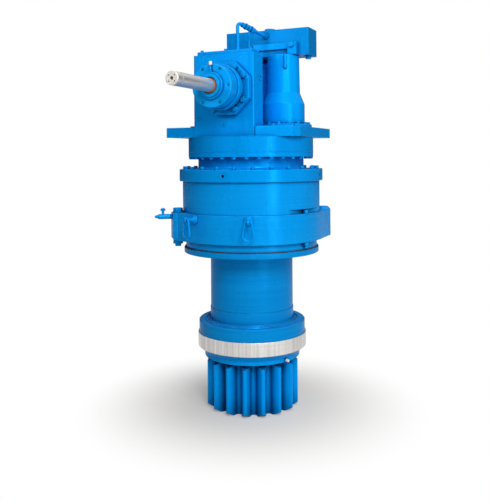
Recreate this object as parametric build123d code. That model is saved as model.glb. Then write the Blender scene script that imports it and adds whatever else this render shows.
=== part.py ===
from build123d import *
import math
import os

os.makedirs("parts", exist_ok=True)

# Planetary gear reducer, upright. The origin is on the output axis, at the lower face of the output
# pinion. +Z points up and the input shaft points to -Y, which is the front. Lengths are in millimetres.

# Clearances
running_gap = 0.05
loose_gap = 0.3
screw_gap = 0.5
tooth_play = 0.35

# Output pinion
pressure_angle = math.radians(20)
pinion_module = 20.0
pinion_teeth = 16
pinion_shift = 0.5
pinion_width = 200.0
pinion_pressure_angle = math.radians(14.5)
pinion_chamfer_height = 12.0
pinion_chamfer_depth = 24.0
pinion_first_tooth = -90 + 14.8
crest_height = 4.0
pocket_radius = 96.0
pocket_depth = 36.0

# Output shaft, its end plate, bearings and seal
shaft_end_radius = 84.0
journal_radius = 100.0
carrier_seat_radius = 90.0
end_plate_thickness = 18.0
end_bolt_count = 6
end_bolt_circle = 52.0
output_bearing_radius = 150.0
output_bearing_width = 82.0
output_bearing_rollers = 22
seal_radius = 125.0
seal_width = 18.0

# Output housing, from the lip cover up to the lower flange
lip_gap = 10.0
lip_radius = 197.0
lip_height = 15.0
cone_height = 25.0
cone_radius = 220.0
lip_screw_count = 8
lip_screw_circle = 178.0
lip_screw_recess = 9.0
lip_screw_grip = 14.0
pilot_radius = 224.5
pilot_height = 56.0
spigot_radius = 206.0
seal_ring_height = 50.0
neck_radius = 171.0
neck_foot_radius = 173.0
neck_foot_height = 52.0
neck_height = 281.0
neck_round = 8.0
flange_radius = 280.0
flange_thickness = 22.0
flange_edge = 2.0
long_bolt_recess = 12.5

# Mounting ring with its two lugs
seal_gap = 2.0
ring_base_radius = 272.5
ring_base_height = 30.0
ring_radius = 292.0
ring_height = 112.0
ring_bore = 240.0
ring_centring_height = 12.0
long_bolt_count = 24
long_bolt_circle = 264.5
lug_angle = 38.0
lug_hole_centre = 314.0
lug_hole_radius = 15.5
lug_radius = 35.0
lug_boss_height = 11.0
left_lug_reach = 333.0
left_lug_half_width = 42.0
left_lug_corner = 14.0
lug_sink = 5.0
lug_bolt_circle = 308.5
rim_bolt_angles = (-17, 163)
rim_bolt_circle = 283.5
rim_flat = 270.6
rim_flat_height = 19.0
rim_nut_pocket = 14.0

# Ring gear housing and its planetary stage
housing_radius = 285.0
housing_height = 127.0
ring_gear_radius = 258.0
planet_module = 6.5
sun_teeth = 18
planet_teeth = 27
planet_count = 3
stage_width = 100.0
stage_clearance = 4.0
planet_pin_radius = 28.0
planet_bore = 40.0
carrier_radius = 212.0
carrier_plate = 44.0
carrier_top_plate = 20.0
carrier_hub_radius = 132.0
carrier_post_radius = 30.0
carrier_post_circle = 178.0

# Adapter between ring gear housing and gear case
adapter_flange_radius = 298.0
adapter_flange_height = 48.0
adapter_neck_radius = 220.0
adapter_neck_height = 49.0
adapter_top_radius = 260.0
adapter_top_height = 20.0
adapter_bore = 228.0
adapter_web = 30.0
adapter_round = 12.0
port_boss_radius = 17.0
port_radius = 6.0
port_depth = 18.0
port_count = 4
port_start = 3.0
flange_screw_count = 24
flange_screw_start = 10.6
flange_screw_circle = 276.0
case_bolt_count = 32
case_bolt_start = 8.85
case_bolt_circle = 249.0

# Gear case, plate and spur gears
case_radius = 260.0
case_height = 60.0
case_floor = 20.0
case_bore = 226.0
plate_thickness = 40.0
plate_left = -281.0
plate_right = 262.0
plate_front = -212.0
plate_back = 262.0
plate_corner_start = 118.0
plate_corner_end = -150.0
plate_bolt_circle = 243.0
plate_bolt_angles = (-45, -19, 50, 75, 100, 125, 150, 180, 210)
spur_module = 4.0
spur_width = 30.0
main_gear_teeth = 38
spur_pinion_teeth = 17
brake_gear_teeth = 31
brake_angle = 19.5
sun_shaft_radius = 40.0
main_seat_radius = 35.0
top_stub_radius = 25.0
side_shaft_radius = 18.0
side_bearing_radius = 36.0
side_bearing_width = 16.0

# Bevel box and bevel gears
box_left = -152.0
box_right = 111.0
box_front = -216.0
box_back = 139.0
box_side_depth = -130.0
box_corner_x = 87.5
box_corner_depth = -73.0
box_waist = -30.0
box_waist_depth = 24.9
box_height = 285.0
box_wall = 14.0
rear_wall_right = 30.0
rear_wall = 21.0
box_rim = 46.0
box_rim_height = 20.0
box_floor = 16.0
box_edge_round = 6.0
lid_inset = 12.0
lid_thickness = 15.0
lid_screw_inset = 26.0
input_height = 1293.0
bevel_module = 4.4
bevel_pinion_teeth = 15
bevel_wheel_teeth = 30
bevel_face = 26.0
upper_bearing_low = 1172.0

# Input unit, measured forwards from the output axis
pad_half_width = 102.0
pad_front = 245.0
cartridge_spigot = 62.0
cartridge_neck = 80.0
cartridge_flange = 88.0
cartridge_flange_back = 268.0
cartridge_front = 298.0
cartridge_bolt_circle = 93.0
cartridge_bolt_angles = (30, 60, 120, 150, 210, 240, 300, 330)
cap_radius = 82.0
cap_front = 354.0
cap_screw_count = 6
cap_screw_start = 0.0
cap_screw_circle = 71.5
boss_radius = 51.0
boss_step_radius = 43.0
boss_step = 6.0
boss_front = 372.0
input_journal_radius = 30.0
input_neck_radius = 25.0
input_tip_radius = 25.0
input_tip = 639.0
input_bearing_radius = 50.0
input_bearing_width = 26.0
input_seal_radius = 32.0
input_seal_width = 12.0
key_width = 14.0
key_depth = 5.5
key_length = 200.0
key_from_tip = 34.0
key_turn = -22.0
clip_from_tip = 32.8
clip_width = 2.2
clip_depth = 1.5
centre_hole_radius = 6.0
tip_hole_circle = 15.0

# Brake tower
tower_flange_radius = 117.0
tower_flange_height = 13.0
tower_radius = 88.0
tower_low_height = 97.0
tower_cone_height = 47.0
tower_neck_radius = 69.0
tower_top_radius = 66.5
tower_height = 300.0
tower_wall = 10.0
tower_bolt_count = 16
tower_bolt_circle = 103.0
brake_plate_count = 7
brake_plate = 3.5
brake_gap = 0.4
brake_inner = 44.0
brake_outer = 70.0

# Oil tank, bracket and pipe
tank_left = -127.0
tank_right = 246.0
tank_front = 34.0
tank_back = 139.0
tank_height = 111.0
tank_wall = 5.0
filler_x = 55.0
filler_radius = 23.5
filler_height = 13.0
drain_x = 227.0
bracket_left = 0.0
bracket_right = 200.0
bracket_low = 26.0
bracket_height = 26.0
bracket_depth = 12.0
bracket_foot = 37.0
pipe_radius = 7.0
pipe_bend = 15.0
riser_x = 2.0
riser_y = -126.0
riser_top = 1569.0
pipe_end_x = 57.0
pipe_end_height = 1533.0
sight_tube_radius = 6.0
sight_tube_angle = -63.0

# Lifting links, drain valve and small plugs
link_angles = (-114.5, -67.9)
link_wire = 4.5
link_width = 25.0
link_length = 70.0
link_shoulder = 12.0
eye_height = 19.0
eye_stand_off = 43.0
eye_collar_radius = 18.0
eye_wall = 6.5
valve_height = 16.0
valve_stem = 11.0
valve_barrel_radius = 10.5
valve_barrel_length = 45.0
valve_nose_length = 16.0
knob_radius = 7.5

# Screws: head radius, head height, shank radius
m8_socket = (6.5, 8.0, 4.0)
m10_socket = (8.5, 12.0, 5.0)
m10_hex = (9.2, 7.0, 5.0)
m12_hex = (11.0, 8.0, 6.0)
rim_hex = (10.5, 11.5, 6.0)
m16_hex = (13.5, 10.0, 8.0)
m24_hex = (20.0, 15.0, 12.0)

# Heights of the joints between the pieces
pinion_root = pinion_module * (pinion_teeth / 2 - 1.25 + pinion_shift)
pinion_tip = pinion_module * (pinion_teeth / 2 + 1 + pinion_shift)
lip_low = pinion_width + lip_gap
pilot_low = lip_low + lip_height + cone_height
seal_ring_low = pilot_low + pilot_height
neck_low = seal_ring_low + seal_ring_height
flange_low = neck_low + neck_height
flange_top = flange_low + flange_thickness
ring_low = flange_top + seal_gap
ring_step = ring_low + ring_base_height
ring_top = ring_step + ring_height
housing_top = ring_top + housing_height
adapter_step = housing_top + adapter_flange_height
adapter_top_low = adapter_step + adapter_neck_height
case_low = adapter_top_low + adapter_top_height
case_top = case_low + case_height
plate_top = case_top + plate_thickness
box_top = plate_top + box_height
lid_top = box_top + lid_thickness
tower_top = plate_top + tower_height
shaft_low = pocket_depth
carrier_low = ring_top - 34.0
gear_low = carrier_low + carrier_plate + stage_clearance
gear_top = gear_low + stage_width
carrier_top_low = gear_top + stage_clearance
spur_low = case_low + case_floor + 4.0
spur_high = spur_low + spur_width

# Places that follow from the gear sizes
sun_pitch = planet_module * sun_teeth / 2
planet_pitch = planet_module * planet_teeth / 2
ring_teeth = sun_teeth + 2 * planet_teeth
ring_pitch = planet_module * ring_teeth / 2
planet_orbit = sun_pitch + planet_pitch
side_y = -spur_module * (main_gear_teeth + spur_pinion_teeth) / 2
brake_orbit = spur_module * (main_gear_teeth + brake_gear_teeth) / 2
brake_x = brake_orbit * math.cos(math.radians(brake_angle))
brake_y = brake_orbit * math.sin(math.radians(brake_angle))
bevel_pinion_radius = bevel_module * bevel_pinion_teeth / 2
bevel_wheel_radius = bevel_module * bevel_wheel_teeth / 2


# Basic shapes


def disc(radius, low, high, x=0.0, y=0.0):
    """Upright cylinder between two heights."""
    body = Cylinder(radius, high - low, align=(Align.CENTER, Align.CENTER, Align.MIN))
    return Pos(x, y, low) * body


def ring(outer, inner, low, high, x=0.0, y=0.0):
    """Upright tube between two heights."""
    return disc(outer, low, high, x, y) - disc(inner, low, high, x, y)


def block(left, right, front, back, low, high):
    """Box between its six faces."""
    body = Box(right - left, back - front, high - low, align=(Align.MIN, Align.MIN, Align.MIN))
    return Pos(left, front, low) * body


def turned(points, x=0.0, y=0.0):
    """Solid turned about an upright axis, from (radius, height) points."""
    face = Plane.XZ * make_face(Polyline(*points, close=True))
    return Pos(x, y, 0) * revolve(face, Axis.Z)


def around(shape, count, start=0.0, x=0.0, y=0.0):
    """Copies of a shape spaced evenly about an upright axis."""
    return [Pos(x, y, 0) * Rot(0, 0, start + 360 * i / count) * shape for i in range(count)]


def facing_front(shape):
    """Turn a shape built upright on the origin so that it points forwards on the input axis."""
    return Pos(0, 0, input_height) * Rot(90, 0, 0) * shape


def outwards(shape, angle, radius, height):
    """Set a shape built upright on the origin so that it points away from the output axis."""
    return Rot(0, 0, angle) * Pos(radius, 0, height) * Rot(0, 90, 0) * shape


def polar(radius, angle):
    """Point at a radius and an angle in radians."""
    return (radius * math.cos(angle), radius * math.sin(angle))


def round_edge(shape, radius, height, size):
    """Round the circular edges of one radius that lie at one height."""
    chosen = [
        edge
        for edge in shape.edges().filter_by(GeomType.CIRCLE)
        if abs(edge.radius - radius) < 0.01 and abs(edge.center().Z - height) < 0.01
    ]
    return fillet(chosen, size)


def solids_of(*shapes):
    """One compound of separate solids, from shapes and lists of shapes."""
    found = []
    for shape in shapes:
        for item in shape if isinstance(shape, list) else [shape]:
            found += list(item.solids())
    return Compound(children=found)


# Screws. Each stands with its head upwards and the underside of the head at height 0.


def socket_screw(size, length):
    """Cap screw with a hexagon socket."""
    head_radius, head_height, shank_radius = size
    head = chamfer(disc(head_radius, 0, head_height).edges().group_by(Axis.Z)[-1], head_height * 0.1)
    socket = extrude(RegularPolygon(head_radius * 0.55, 6), head_height * 0.55)
    return head - Pos(0, 0, head_height * 0.45) * socket + disc(shank_radius, -length, 0)


def hex_screw(size, length):
    """Hexagon screw with a washer under its head."""
    head_radius, head_height, shank_radius = size
    washer = disc(head_radius * 1.12, 0, head_height * 0.25)
    head = Pos(0, 0, head_height * 0.25) * extrude(RegularPolygon(head_radius, 6), head_height)
    top = head_height * 1.25
    slope = head_height * 0.2
    crown = turned([(0, 0), (head_radius * 1.2, 0), (head_radius * 1.2, top - slope * 1.5),
                    (head_radius * 0.9, top), (0, top)])
    return washer + (head & crown) + disc(shank_radius, -length, 0)


def roller_bearing(inner, outer, low, high, rollers, x=0.0, y=0.0):
    """Cylindrical roller bearing: outer race, inner race and rollers as separate solids."""
    depth = outer - inner
    edge = (high - low) * 0.12
    outer_race = ring(outer, outer - depth * 0.28, low, high, x, y)
    inner_race = ring(inner + depth * 0.28, inner + running_gap, low, high, x, y)
    roller_radius = depth * 0.22 - loose_gap / 2
    middle = (inner + outer) / 2
    roller = disc(roller_radius, low + edge, high - edge, middle)
    return [outer_race, inner_race] + around(roller, rollers, 0, x, y)


# Gear teeth


def involute(angle):
    return math.tan(angle) - angle


def tooth_half_angle(teeth, module, radius, shift, play, pressure=pressure_angle):
    """Half the angle a tooth takes up at a radius, in radians."""
    pitch_radius = module * teeth / 2
    base_radius = pitch_radius * math.cos(pressure)
    thickness = module * (math.pi / 2 + 2 * shift * math.tan(pressure)) - play
    flank = math.acos(min(1.0, base_radius / radius))
    return thickness / (2 * pitch_radius) + involute(pressure) - involute(flank)


def flank_radii(teeth, module, root, tip, pressure=pressure_angle):
    """Radii of the points along a flank: its root, then its curved part from the base circle."""
    base_radius = module * teeth / 2 * math.cos(pressure)
    start = max(root, base_radius)
    curved = [start + (tip - start) * i / 5 for i in range(6)]
    return ([root] if root < start else []) + curved


def gear_face(teeth, module, root, tip, play, first_tooth):
    """Flat outline of a spur gear. The first tooth's direction is in degrees."""
    radii = flank_radii(teeth, module, root, tip)
    points = []
    for i in range(teeth):
        middle = math.radians(first_tooth + 360 * i / teeth)
        rising = [(r, -tooth_half_angle(teeth, module, r, 0, play)) for r in radii]
        falling = [(r, -angle) for r, angle in reversed(rising)]
        points += [polar(r, middle + angle) for r, angle in rising + falling]
    return make_face(Polyline(*points, close=True))


def spur_gear(teeth, module, low, high, first_tooth):
    """Solid spur gear with standard teeth."""
    pitch_radius = module * teeth / 2
    face = gear_face(teeth, module, pitch_radius - 1.25 * module, pitch_radius + module,
                     tooth_play, first_tooth)
    return Pos(0, 0, low) * extrude(face, high - low)


def meshing_tooth(first_tooth, teeth, direction, other_teeth):
    """Direction of a tooth on the other gear, so that it meshes along a direction in degrees."""
    offset = (first_tooth - direction) % (360 / teeth)
    return direction + 180 - offset * teeth / other_teeth + 180 / other_teeth


def pinion_face():
    """Outline of the output pinion, with round crests and round roots."""
    pitch = 2 * math.pi / pinion_teeth
    crest = pinion_tip - crest_height
    angle = pinion_pressure_angle
    radii = flank_radii(pinion_teeth, pinion_module, pinion_root, crest, angle)[1:]
    half = [tooth_half_angle(pinion_teeth, pinion_module, r, pinion_shift, tooth_play, angle) for r in radii]
    edges = []
    for i in range(pinion_teeth):
        middle = math.radians(pinion_first_tooth) + pitch * i
        rising = [polar(r, middle - a) for r, a in zip(radii, half)]
        falling = [polar(r, middle + a) for r, a in zip(radii, half)]
        next_foot = polar(radii[0], middle + pitch - half[0])
        edges.append(Spline(*rising))
        edges.append(ThreePointArc(rising[-1], polar(pinion_tip, middle), falling[-1]))
        edges.append(Spline(*reversed(falling)))
        edges.append(ThreePointArc(falling[0], polar(pinion_root, middle + pitch / 2), next_foot))
    return make_face(Wire(edges))


def bevel_gear(teeth, other_teeth, first_tooth):
    """Straight bevel gear. Its cone tip is at the origin and its teeth face upwards."""
    radius = bevel_module * teeth / 2
    cone = math.atan2(teeth, other_teeth)
    cone_distance = radius / math.sin(cone)
    inner_share = (cone_distance - bevel_face) / cone_distance
    virtual_teeth = teeth / math.cos(cone)
    virtual_radius = radius / math.cos(cone)
    root = virtual_radius - 1.2 * bevel_module
    tip = virtual_radius + 0.9 * bevel_module
    radii = [root - bevel_module * 0.4] + flank_radii(virtual_teeth, bevel_module, root, tip)
    half = [tooth_half_angle(virtual_teeth, bevel_module, r, 0, tooth_play) for r in radii]
    side = [(r * math.sin(a), r * math.cos(a) - virtual_radius) for r, a in zip(radii, half)]
    outline = [(-x, y) for x, y in side] + list(reversed(side))
    depth = radius / math.tan(cone)
    faces = []
    for share in (1.0, inner_share):
        plane = Plane(
            origin=(radius * share, 0, -depth * share),
            x_dir=(0, 1, 0),
            z_dir=(math.sin(cone), 0, -math.cos(cone)),
        )
        scaled = [(x * share, y * share) for x, y in outline]
        faces.append(plane * make_face(Polyline(*scaled, close=True)))
    tooth = loft(faces, ruled=True)
    dedendum = 1.2 * bevel_module
    rim = (radius - dedendum * math.cos(cone), -depth - dedendum * math.sin(cone))
    inner_rim = (rim[0] * inner_share, rim[1] * inner_share)
    blank = turned([(0, rim[1]), rim, inner_rim, (0, inner_rim[1])])
    gear = blank
    for copy in around(tooth, teeth, first_tooth):
        gear = gear + copy
    return gear


# Output end


def output_pinion():
    teeth = extrude(pinion_face(), pinion_width)
    slope = pinion_tip - pinion_chamfer_depth
    low = pinion_chamfer_height
    high = pinion_width - pinion_chamfer_height
    ends = turned([(0, 0), (slope, 0), (pinion_tip, low), (pinion_tip, high), (slope, pinion_width),
                   (0, pinion_width)])
    gear = (teeth & ends) - disc(shaft_end_radius, 0, pinion_width)
    return gear - disc(pocket_radius, 0, pocket_depth)


def end_bolts():
    plate_low = pocket_depth - end_plate_thickness
    bolt = Pos(end_bolt_circle, 0, plate_low) * Rot(180, 0, 0) * hex_screw(m16_hex, end_plate_thickness + 42)
    return around(bolt, end_bolt_count)


def end_plate():
    plate = disc(pocket_radius - loose_gap, pocket_depth - end_plate_thickness, pocket_depth)
    hole = disc(m16_hex[2] + screw_gap, 0, pocket_depth, end_bolt_circle)
    return plate - around(hole, end_bolt_count)


def output_shaft():
    top = carrier_low + carrier_plate - 2.0
    shaft = turned([(0, shaft_low), (shaft_end_radius, shaft_low), (shaft_end_radius, pinion_width),
                    (journal_radius, pinion_width), (journal_radius, flange_low + 16),
                    (carrier_seat_radius, flange_low + 16), (carrier_seat_radius, top), (0, top)])
    hole = disc(m16_hex[2], shaft_low, shaft_low + 45, end_bolt_circle)
    return shaft - around(hole, end_bolt_count)


def lip_cover():
    seal_low = pilot_low - 6 - seal_width
    cover = turned([(journal_radius + 4, lip_low), (lip_radius, lip_low), (lip_radius, lip_low + lip_height),
                    (cone_radius, pilot_low), (seal_radius, pilot_low), (seal_radius, seal_low),
                    (journal_radius + 4, seal_low)])
    recess = disc(m8_socket[0] + screw_gap, lip_low, lip_low + lip_screw_recess, lip_screw_circle)
    hole = disc(m8_socket[2] + screw_gap, lip_low, pilot_low, lip_screw_circle)
    return cover - around(recess + hole, lip_screw_count) - nipple_socket()


def lip_screws():
    length = lip_height + cone_height - lip_screw_recess + lip_screw_grip
    screw = Rot(180, 0, 0) * socket_screw(m8_socket, length)
    screw = Pos(lip_screw_circle, 0, lip_low + lip_screw_recess) * screw
    return around(screw, lip_screw_count)


def output_seal():
    low = pilot_low - 6 - seal_width
    high = pilot_low - 6
    inner = journal_radius + running_gap
    return turned([(inner, low), (seal_radius, low), (seal_radius, high), (seal_radius - 6, high),
                   (seal_radius - 6, low + 6), (inner + 6, low + 6), (inner + 6, high - 4),
                   (inner, high - 4)])


def output_housing():
    seat_low = pilot_low + 6 + output_bearing_width
    seat_high = flange_low - output_bearing_width
    bore = output_bearing_radius - 10
    shape = turned([
        (output_bearing_radius, pilot_low), (spigot_radius, pilot_low), (spigot_radius, seal_ring_low),
        (cone_radius, seal_ring_low), (cone_radius, neck_low - 3), (cone_radius - 3, neck_low),
        (neck_foot_radius, neck_low), (neck_foot_radius, neck_low + neck_foot_height),
        (neck_radius, neck_low + neck_foot_height), (neck_radius, flange_low),
        (flange_radius - flange_edge, flange_low), (flange_radius, flange_low + flange_edge),
        (flange_radius, flange_top - flange_edge), (flange_radius - flange_edge, flange_top),
        (ring_bore, flange_top), (ring_bore, ring_low + ring_centring_height),
        (ring_bore - 14, ring_low + ring_centring_height), (ring_bore - 14, flange_top),
        (output_bearing_radius, flange_top), (output_bearing_radius, seat_high), (bore, seat_high),
        (bore, seat_low), (output_bearing_radius, seat_low),
    ])
    shape = round_edge(shape, neck_foot_radius, neck_low, neck_round)
    bolt_hole = disc(m10_socket[2] + screw_gap, flange_low, flange_top, long_bolt_circle)
    head_room = disc(m10_socket[0] + screw_gap, flange_low, flange_low + long_bolt_recess, long_bolt_circle)
    tapped = disc(m8_socket[2], pilot_low, pilot_low + lip_screw_grip, lip_screw_circle)
    shape = shape - around(bolt_hole + head_room, long_bolt_count, 7.5)
    return shape - around(tapped, lip_screw_count)


def output_bearings():
    lower = pilot_low + 6
    upper = flange_low - output_bearing_width
    shapes = []
    for low in (lower, upper):
        shapes += roller_bearing(journal_radius, output_bearing_radius, low, low + output_bearing_width,
                                 output_bearing_rollers)
    return shapes


def pilot_ring():
    edge = 1.5
    return turned([(spigot_radius, pilot_low), (pilot_radius - edge, pilot_low),
                   (pilot_radius, pilot_low + edge), (pilot_radius, seal_ring_low - edge),
                   (pilot_radius - edge, seal_ring_low), (spigot_radius, seal_ring_low)])


# Mounting ring


def lug_plan(centre, end_radius):
    """Flat outline of a lug along +X: straight flanks from the rim to a round end."""
    turn = math.acos((ring_radius - end_radius) / centre)
    rim_x, rim_y = polar(ring_radius, turn)
    end_x, end_y = polar(end_radius, turn)
    root = rim_x - 20
    outline = Polyline((root, -rim_y), (rim_x, -rim_y), (centre + end_x, -end_y), (centre + end_x, end_y),
                       (rim_x, rim_y), (root, rim_y), close=True)
    return make_face(outline)


def right_lug():
    """Round lug with a sloped boss and an upright hole."""
    body = Pos(0, 0, ring_step) * extrude(lug_plan(lug_hole_centre, lug_radius), ring_height)
    top = ring_top + lug_boss_height
    boss = turned([(0, ring_step), (lug_radius, ring_step), (lug_radius, ring_top),
                   (lug_radius - lug_boss_height, top), (0, top)])
    boss = Pos(lug_hole_centre, 0, 0) * boss - disc(housing_radius + 1, ring_top, top)
    hole = disc(lug_hole_radius, ring_step, top, lug_hole_centre)
    sink = turned([(0, top - lug_sink), (lug_hole_radius, top - lug_sink),
                   (lug_hole_radius + lug_sink, top), (0, top)])
    return body + boss - hole - Pos(lug_hole_centre, 0, 0) * sink


def left_lug():
    """Square-ended lug that holds a bolt and the drain valve."""
    flat = left_lug_reach - left_lug_half_width
    body = Pos(0, 0, ring_step) * extrude(lug_plan(flat, left_lug_half_width), ring_height)
    end = block(flat, left_lug_reach, -left_lug_half_width, left_lug_half_width, ring_step, ring_top)
    corners = [edge for edge in end.edges().filter_by(Axis.Z) if edge.center().X > flat + 1]
    end = chamfer(corners, left_lug_corner)
    lowest = [edge for edge in end.edges().group_by(Axis.Z)[0] if edge.center().X > flat + 1]
    end = chamfer(lowest, left_lug_corner * 0.6)
    return body + end - disc(m24_hex[2] + screw_gap, ring_step, ring_top, lug_bolt_circle)


def mounting_ring():
    edge = 1.5
    body = turned([
        (ring_bore, ring_low), (ring_base_radius, ring_low), (ring_base_radius, ring_step),
        (ring_radius - edge, ring_step), (ring_radius, ring_step + edge), (ring_radius, ring_top - edge),
        (ring_radius - edge, ring_top), (ring_bore, ring_top),
    ])
    body = body + Rot(0, 0, lug_angle) * right_lug() + Rot(0, 0, lug_angle + 180) * left_lug()
    body = body - disc(ring_bore, ring_low, ring_top)
    body = body - around(disc(m10_socket[2] + screw_gap, ring_low, ring_top, long_bolt_circle),
                         long_bolt_count, 7.5)
    for angle in rim_bolt_angles:
        hole = disc(rim_hex[2] + screw_gap, ring_step, ring_top, rim_bolt_circle)
        pocket = disc(rim_nut_pocket, ring_low, ring_step, rim_bolt_circle)
        body = body - Rot(0, 0, angle) * (hole + pocket)
    for socket in eye_sockets():
        body = body - socket
    return body - valve_socket()


def bolt_and_nut(size, circle):
    """Bolt that passes down through the ring, with its nut against the step below."""
    grip = ring_height + size[1] + 10
    nut = extrude(RegularPolygon(size[0], 6), size[1]) - disc(size[2], 0, size[1])
    return [Pos(circle, 0, ring_top) * hex_screw(size, grip), Pos(circle, 0, ring_step - size[1]) * nut]


def ring_bolts():
    """The two rim bolts and the bolt of the left lug, with their nuts."""
    shapes = [Rot(0, 0, lug_angle + 180) * shape for shape in bolt_and_nut(m24_hex, lug_bolt_circle)]
    for angle in rim_bolt_angles:
        shapes += [Rot(0, 0, angle) * shape for shape in bolt_and_nut(rim_hex, rim_bolt_circle)]
    return shapes


def long_bolts():
    """Bolts that clamp the output housing and the mounting ring to the ring gear housing."""
    seat = flange_low + long_bolt_recess
    screw = Rot(180, 0, 0) * socket_screw(m10_socket, ring_top - seat + 40)
    screw = Pos(long_bolt_circle, 0, seat) * screw
    return around(screw, long_bolt_count, 7.5)


def flange_seal():
    inner = long_bolt_circle + m10_socket[2] + 1
    return ring(ring_base_radius + 3, inner, flange_top, ring_low)


# Lifting links


def eye_sockets():
    """Threaded holes of the eyebolts, each with a flat seat for its collar."""
    socket = disc(5, -16, 0) + disc(eye_collar_radius + 1, 0, 12)
    return [outwards(socket, angle, ring_radius, ring_top - eye_height) for angle in link_angles]


def eyebolt(angle):
    """Eye whose hole lies level with the rim, on a collar and a threaded stem."""
    inner = link_wire + loose_gap
    eye = Rot(90, 0, 0) * Cylinder(inner + eye_wall, eye_wall * 1.6)
    eye = chamfer(eye.edges().filter_by(GeomType.CIRCLE), 1.5)
    collar = turned([(0, 0), (eye_collar_radius, 0), (eye_collar_radius, 5), (9, 12), (7, 20), (0, 20)])
    post = disc(7, 0, eye_stand_off)
    body = collar + disc(5, -16, 0) + post + Pos(0, 0, eye_stand_off) * eye
    body = body - Pos(0, 0, eye_stand_off) * Rot(90, 0, 0) * Cylinder(inner, eye_wall * 4)
    return outwards(body, angle, ring_radius, ring_top - eye_height)


def lifting_link(angle):
    """Pear-shaped link of round wire that hangs in its eye."""
    half = link_width - link_wire
    middle = link_length - half
    reach = math.hypot(link_shoulder, middle)
    side = math.sqrt(reach ** 2 - half ** 2)
    lean = math.atan2(-middle, -link_shoulder) + math.asin(half / reach)
    y = link_shoulder + side * math.cos(lean)
    z = side * math.sin(lean)
    upper = FilletPolyline((0, -y, z), (0, -link_shoulder, 0), (0, link_shoulder, 0), (0, y, z), radius=6.5)
    lower = ThreePointArc((0, y, z), (0, 0, -link_length), (0, -y, z))
    path = Wire(list(upper.edges()) + [lower.edge()])
    start = path @ 0
    section = Plane(origin=start, z_dir=path % 0) * Circle(link_wire)
    wire = sweep(section, path)
    return Rot(0, 0, angle) * Pos(ring_radius + eye_stand_off, 0, ring_top - eye_height) * wire


# Drain valve on the left lug


def valve_socket():
    return outwards(disc(7, -valve_stem, 0), lug_angle + 180, left_lug_reach, ring_top - valve_height)


def drain_valve():
    barrel = valve_barrel_length
    body = turned([
        (0, -valve_stem), (7, -valve_stem), (7, 0), (8, 0), (8, 7), (valve_barrel_radius, 9),
        (valve_barrel_radius, barrel + 9), (valve_barrel_radius - 3, barrel + 11),
        (valve_barrel_radius - 3, barrel + 14), (4, barrel + 9 + valve_nose_length),
        (0, barrel + 9 + valve_nose_length),
    ])
    nut = extrude(RegularPolygon(11, 6), 7)
    neck = Pos(-valve_barrel_radius + 2, 0, 9 + barrel * 0.62) * Rot(0, -90, 0) * disc(5, 0, 8)
    return outwards(body + nut + neck, lug_angle + 180, left_lug_reach, ring_top - valve_height)


def valve_knob():
    """Fluted knob that opens the drain valve. It turns about its upright stem."""
    low = ring_top - valve_height + valve_barrel_radius + 6 + loose_gap
    knob = turned([(0, low), (knob_radius - 2, low), (knob_radius - 2, low + 5), (knob_radius, low + 8),
                   (knob_radius, low + 15), (knob_radius - 2, low + 18), (0, low + 18)])
    wing = block(-knob_radius - 3, knob_radius + 3, -2, 2, low + 7, low + 14)
    reach = left_lug_reach + 9 + valve_barrel_length * 0.62
    return Rot(0, 0, lug_angle + 180) * Pos(reach, 0, 0) * (knob + wing)


# Planetary stage


def ring_gear_housing():
    edge = 1.0
    shape = turned([
        (ring_bore + 8, ring_top), (housing_radius - edge, ring_top), (housing_radius, ring_top + edge),
        (housing_radius, housing_top - edge), (housing_radius - edge, housing_top),
        (ring_gear_radius, housing_top), (ring_gear_radius, gear_low - 2), (ring_bore + 8, gear_low - 2),
    ])
    tapped = disc(m10_socket[2], housing_top - 30, housing_top, flange_screw_circle)
    below = disc(m10_socket[2], ring_top, ring_top + 40, long_bolt_circle)
    shape = shape - around(tapped, flange_screw_count, flange_screw_start)
    shape = shape - around(below, long_bolt_count, 7.5)
    flat = block(rim_flat, housing_radius + 1, -100, 100, ring_top, ring_top + rim_flat_height)
    for angle in rim_bolt_angles:
        shape = shape - Rot(0, 0, angle) * flat
    return shape


def ring_gear():
    cutter = gear_face(ring_teeth, planet_module, ring_pitch - planet_module,
                       ring_pitch + 1.25 * planet_module, -tooth_play, 0)
    blank = disc(ring_gear_radius, gear_low - 2, gear_top + 2)
    return blank - Pos(0, 0, gear_low - 2) * extrude(cutter, stage_width + 4)


def planet_place(index):
    angle = 360 * index / planet_count
    x, y = polar(planet_orbit, math.radians(angle))
    return angle, x, y


def planet_gear(index):
    angle, x, y = planet_place(index)
    first_tooth = angle + 180 + 180 / planet_teeth
    gear = spur_gear(planet_teeth, planet_module, gear_low, gear_top, first_tooth)
    return Pos(x, y, 0) * (gear - disc(planet_bore, gear_low, gear_top))


def planet_pins():
    low = carrier_low + 8
    high = carrier_top_low + carrier_top_plate
    return [disc(planet_pin_radius, low, high, x, y) for _, x, y in map(planet_place, range(planet_count))]


def planet_bearings():
    shapes = []
    outer = planet_bore - running_gap
    for _, x, y in map(planet_place, range(planet_count)):
        shapes.append(ring(outer, planet_pin_radius, gear_low + 2, gear_top - 2, x, y))
    return shapes


def planet_carrier():
    low = carrier_low
    top = carrier_top_low + carrier_top_plate
    body = disc(carrier_radius, low, low + carrier_plate)
    body = body + disc(carrier_hub_radius, flange_low + 20, low)
    body = body + disc(carrier_radius, carrier_top_low, top)
    half_turn = 180 / planet_count
    post = disc(carrier_post_radius, low + carrier_plate, carrier_top_low, carrier_post_circle)
    body = body + around(post, planet_count, half_turn)
    body = body - disc(carrier_seat_radius, flange_low + 20, low + carrier_plate)
    body = body - disc(sun_pitch + planet_module + 8, carrier_top_low, top)
    for pin in planet_pins():
        body = body - pin
    return body


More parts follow.
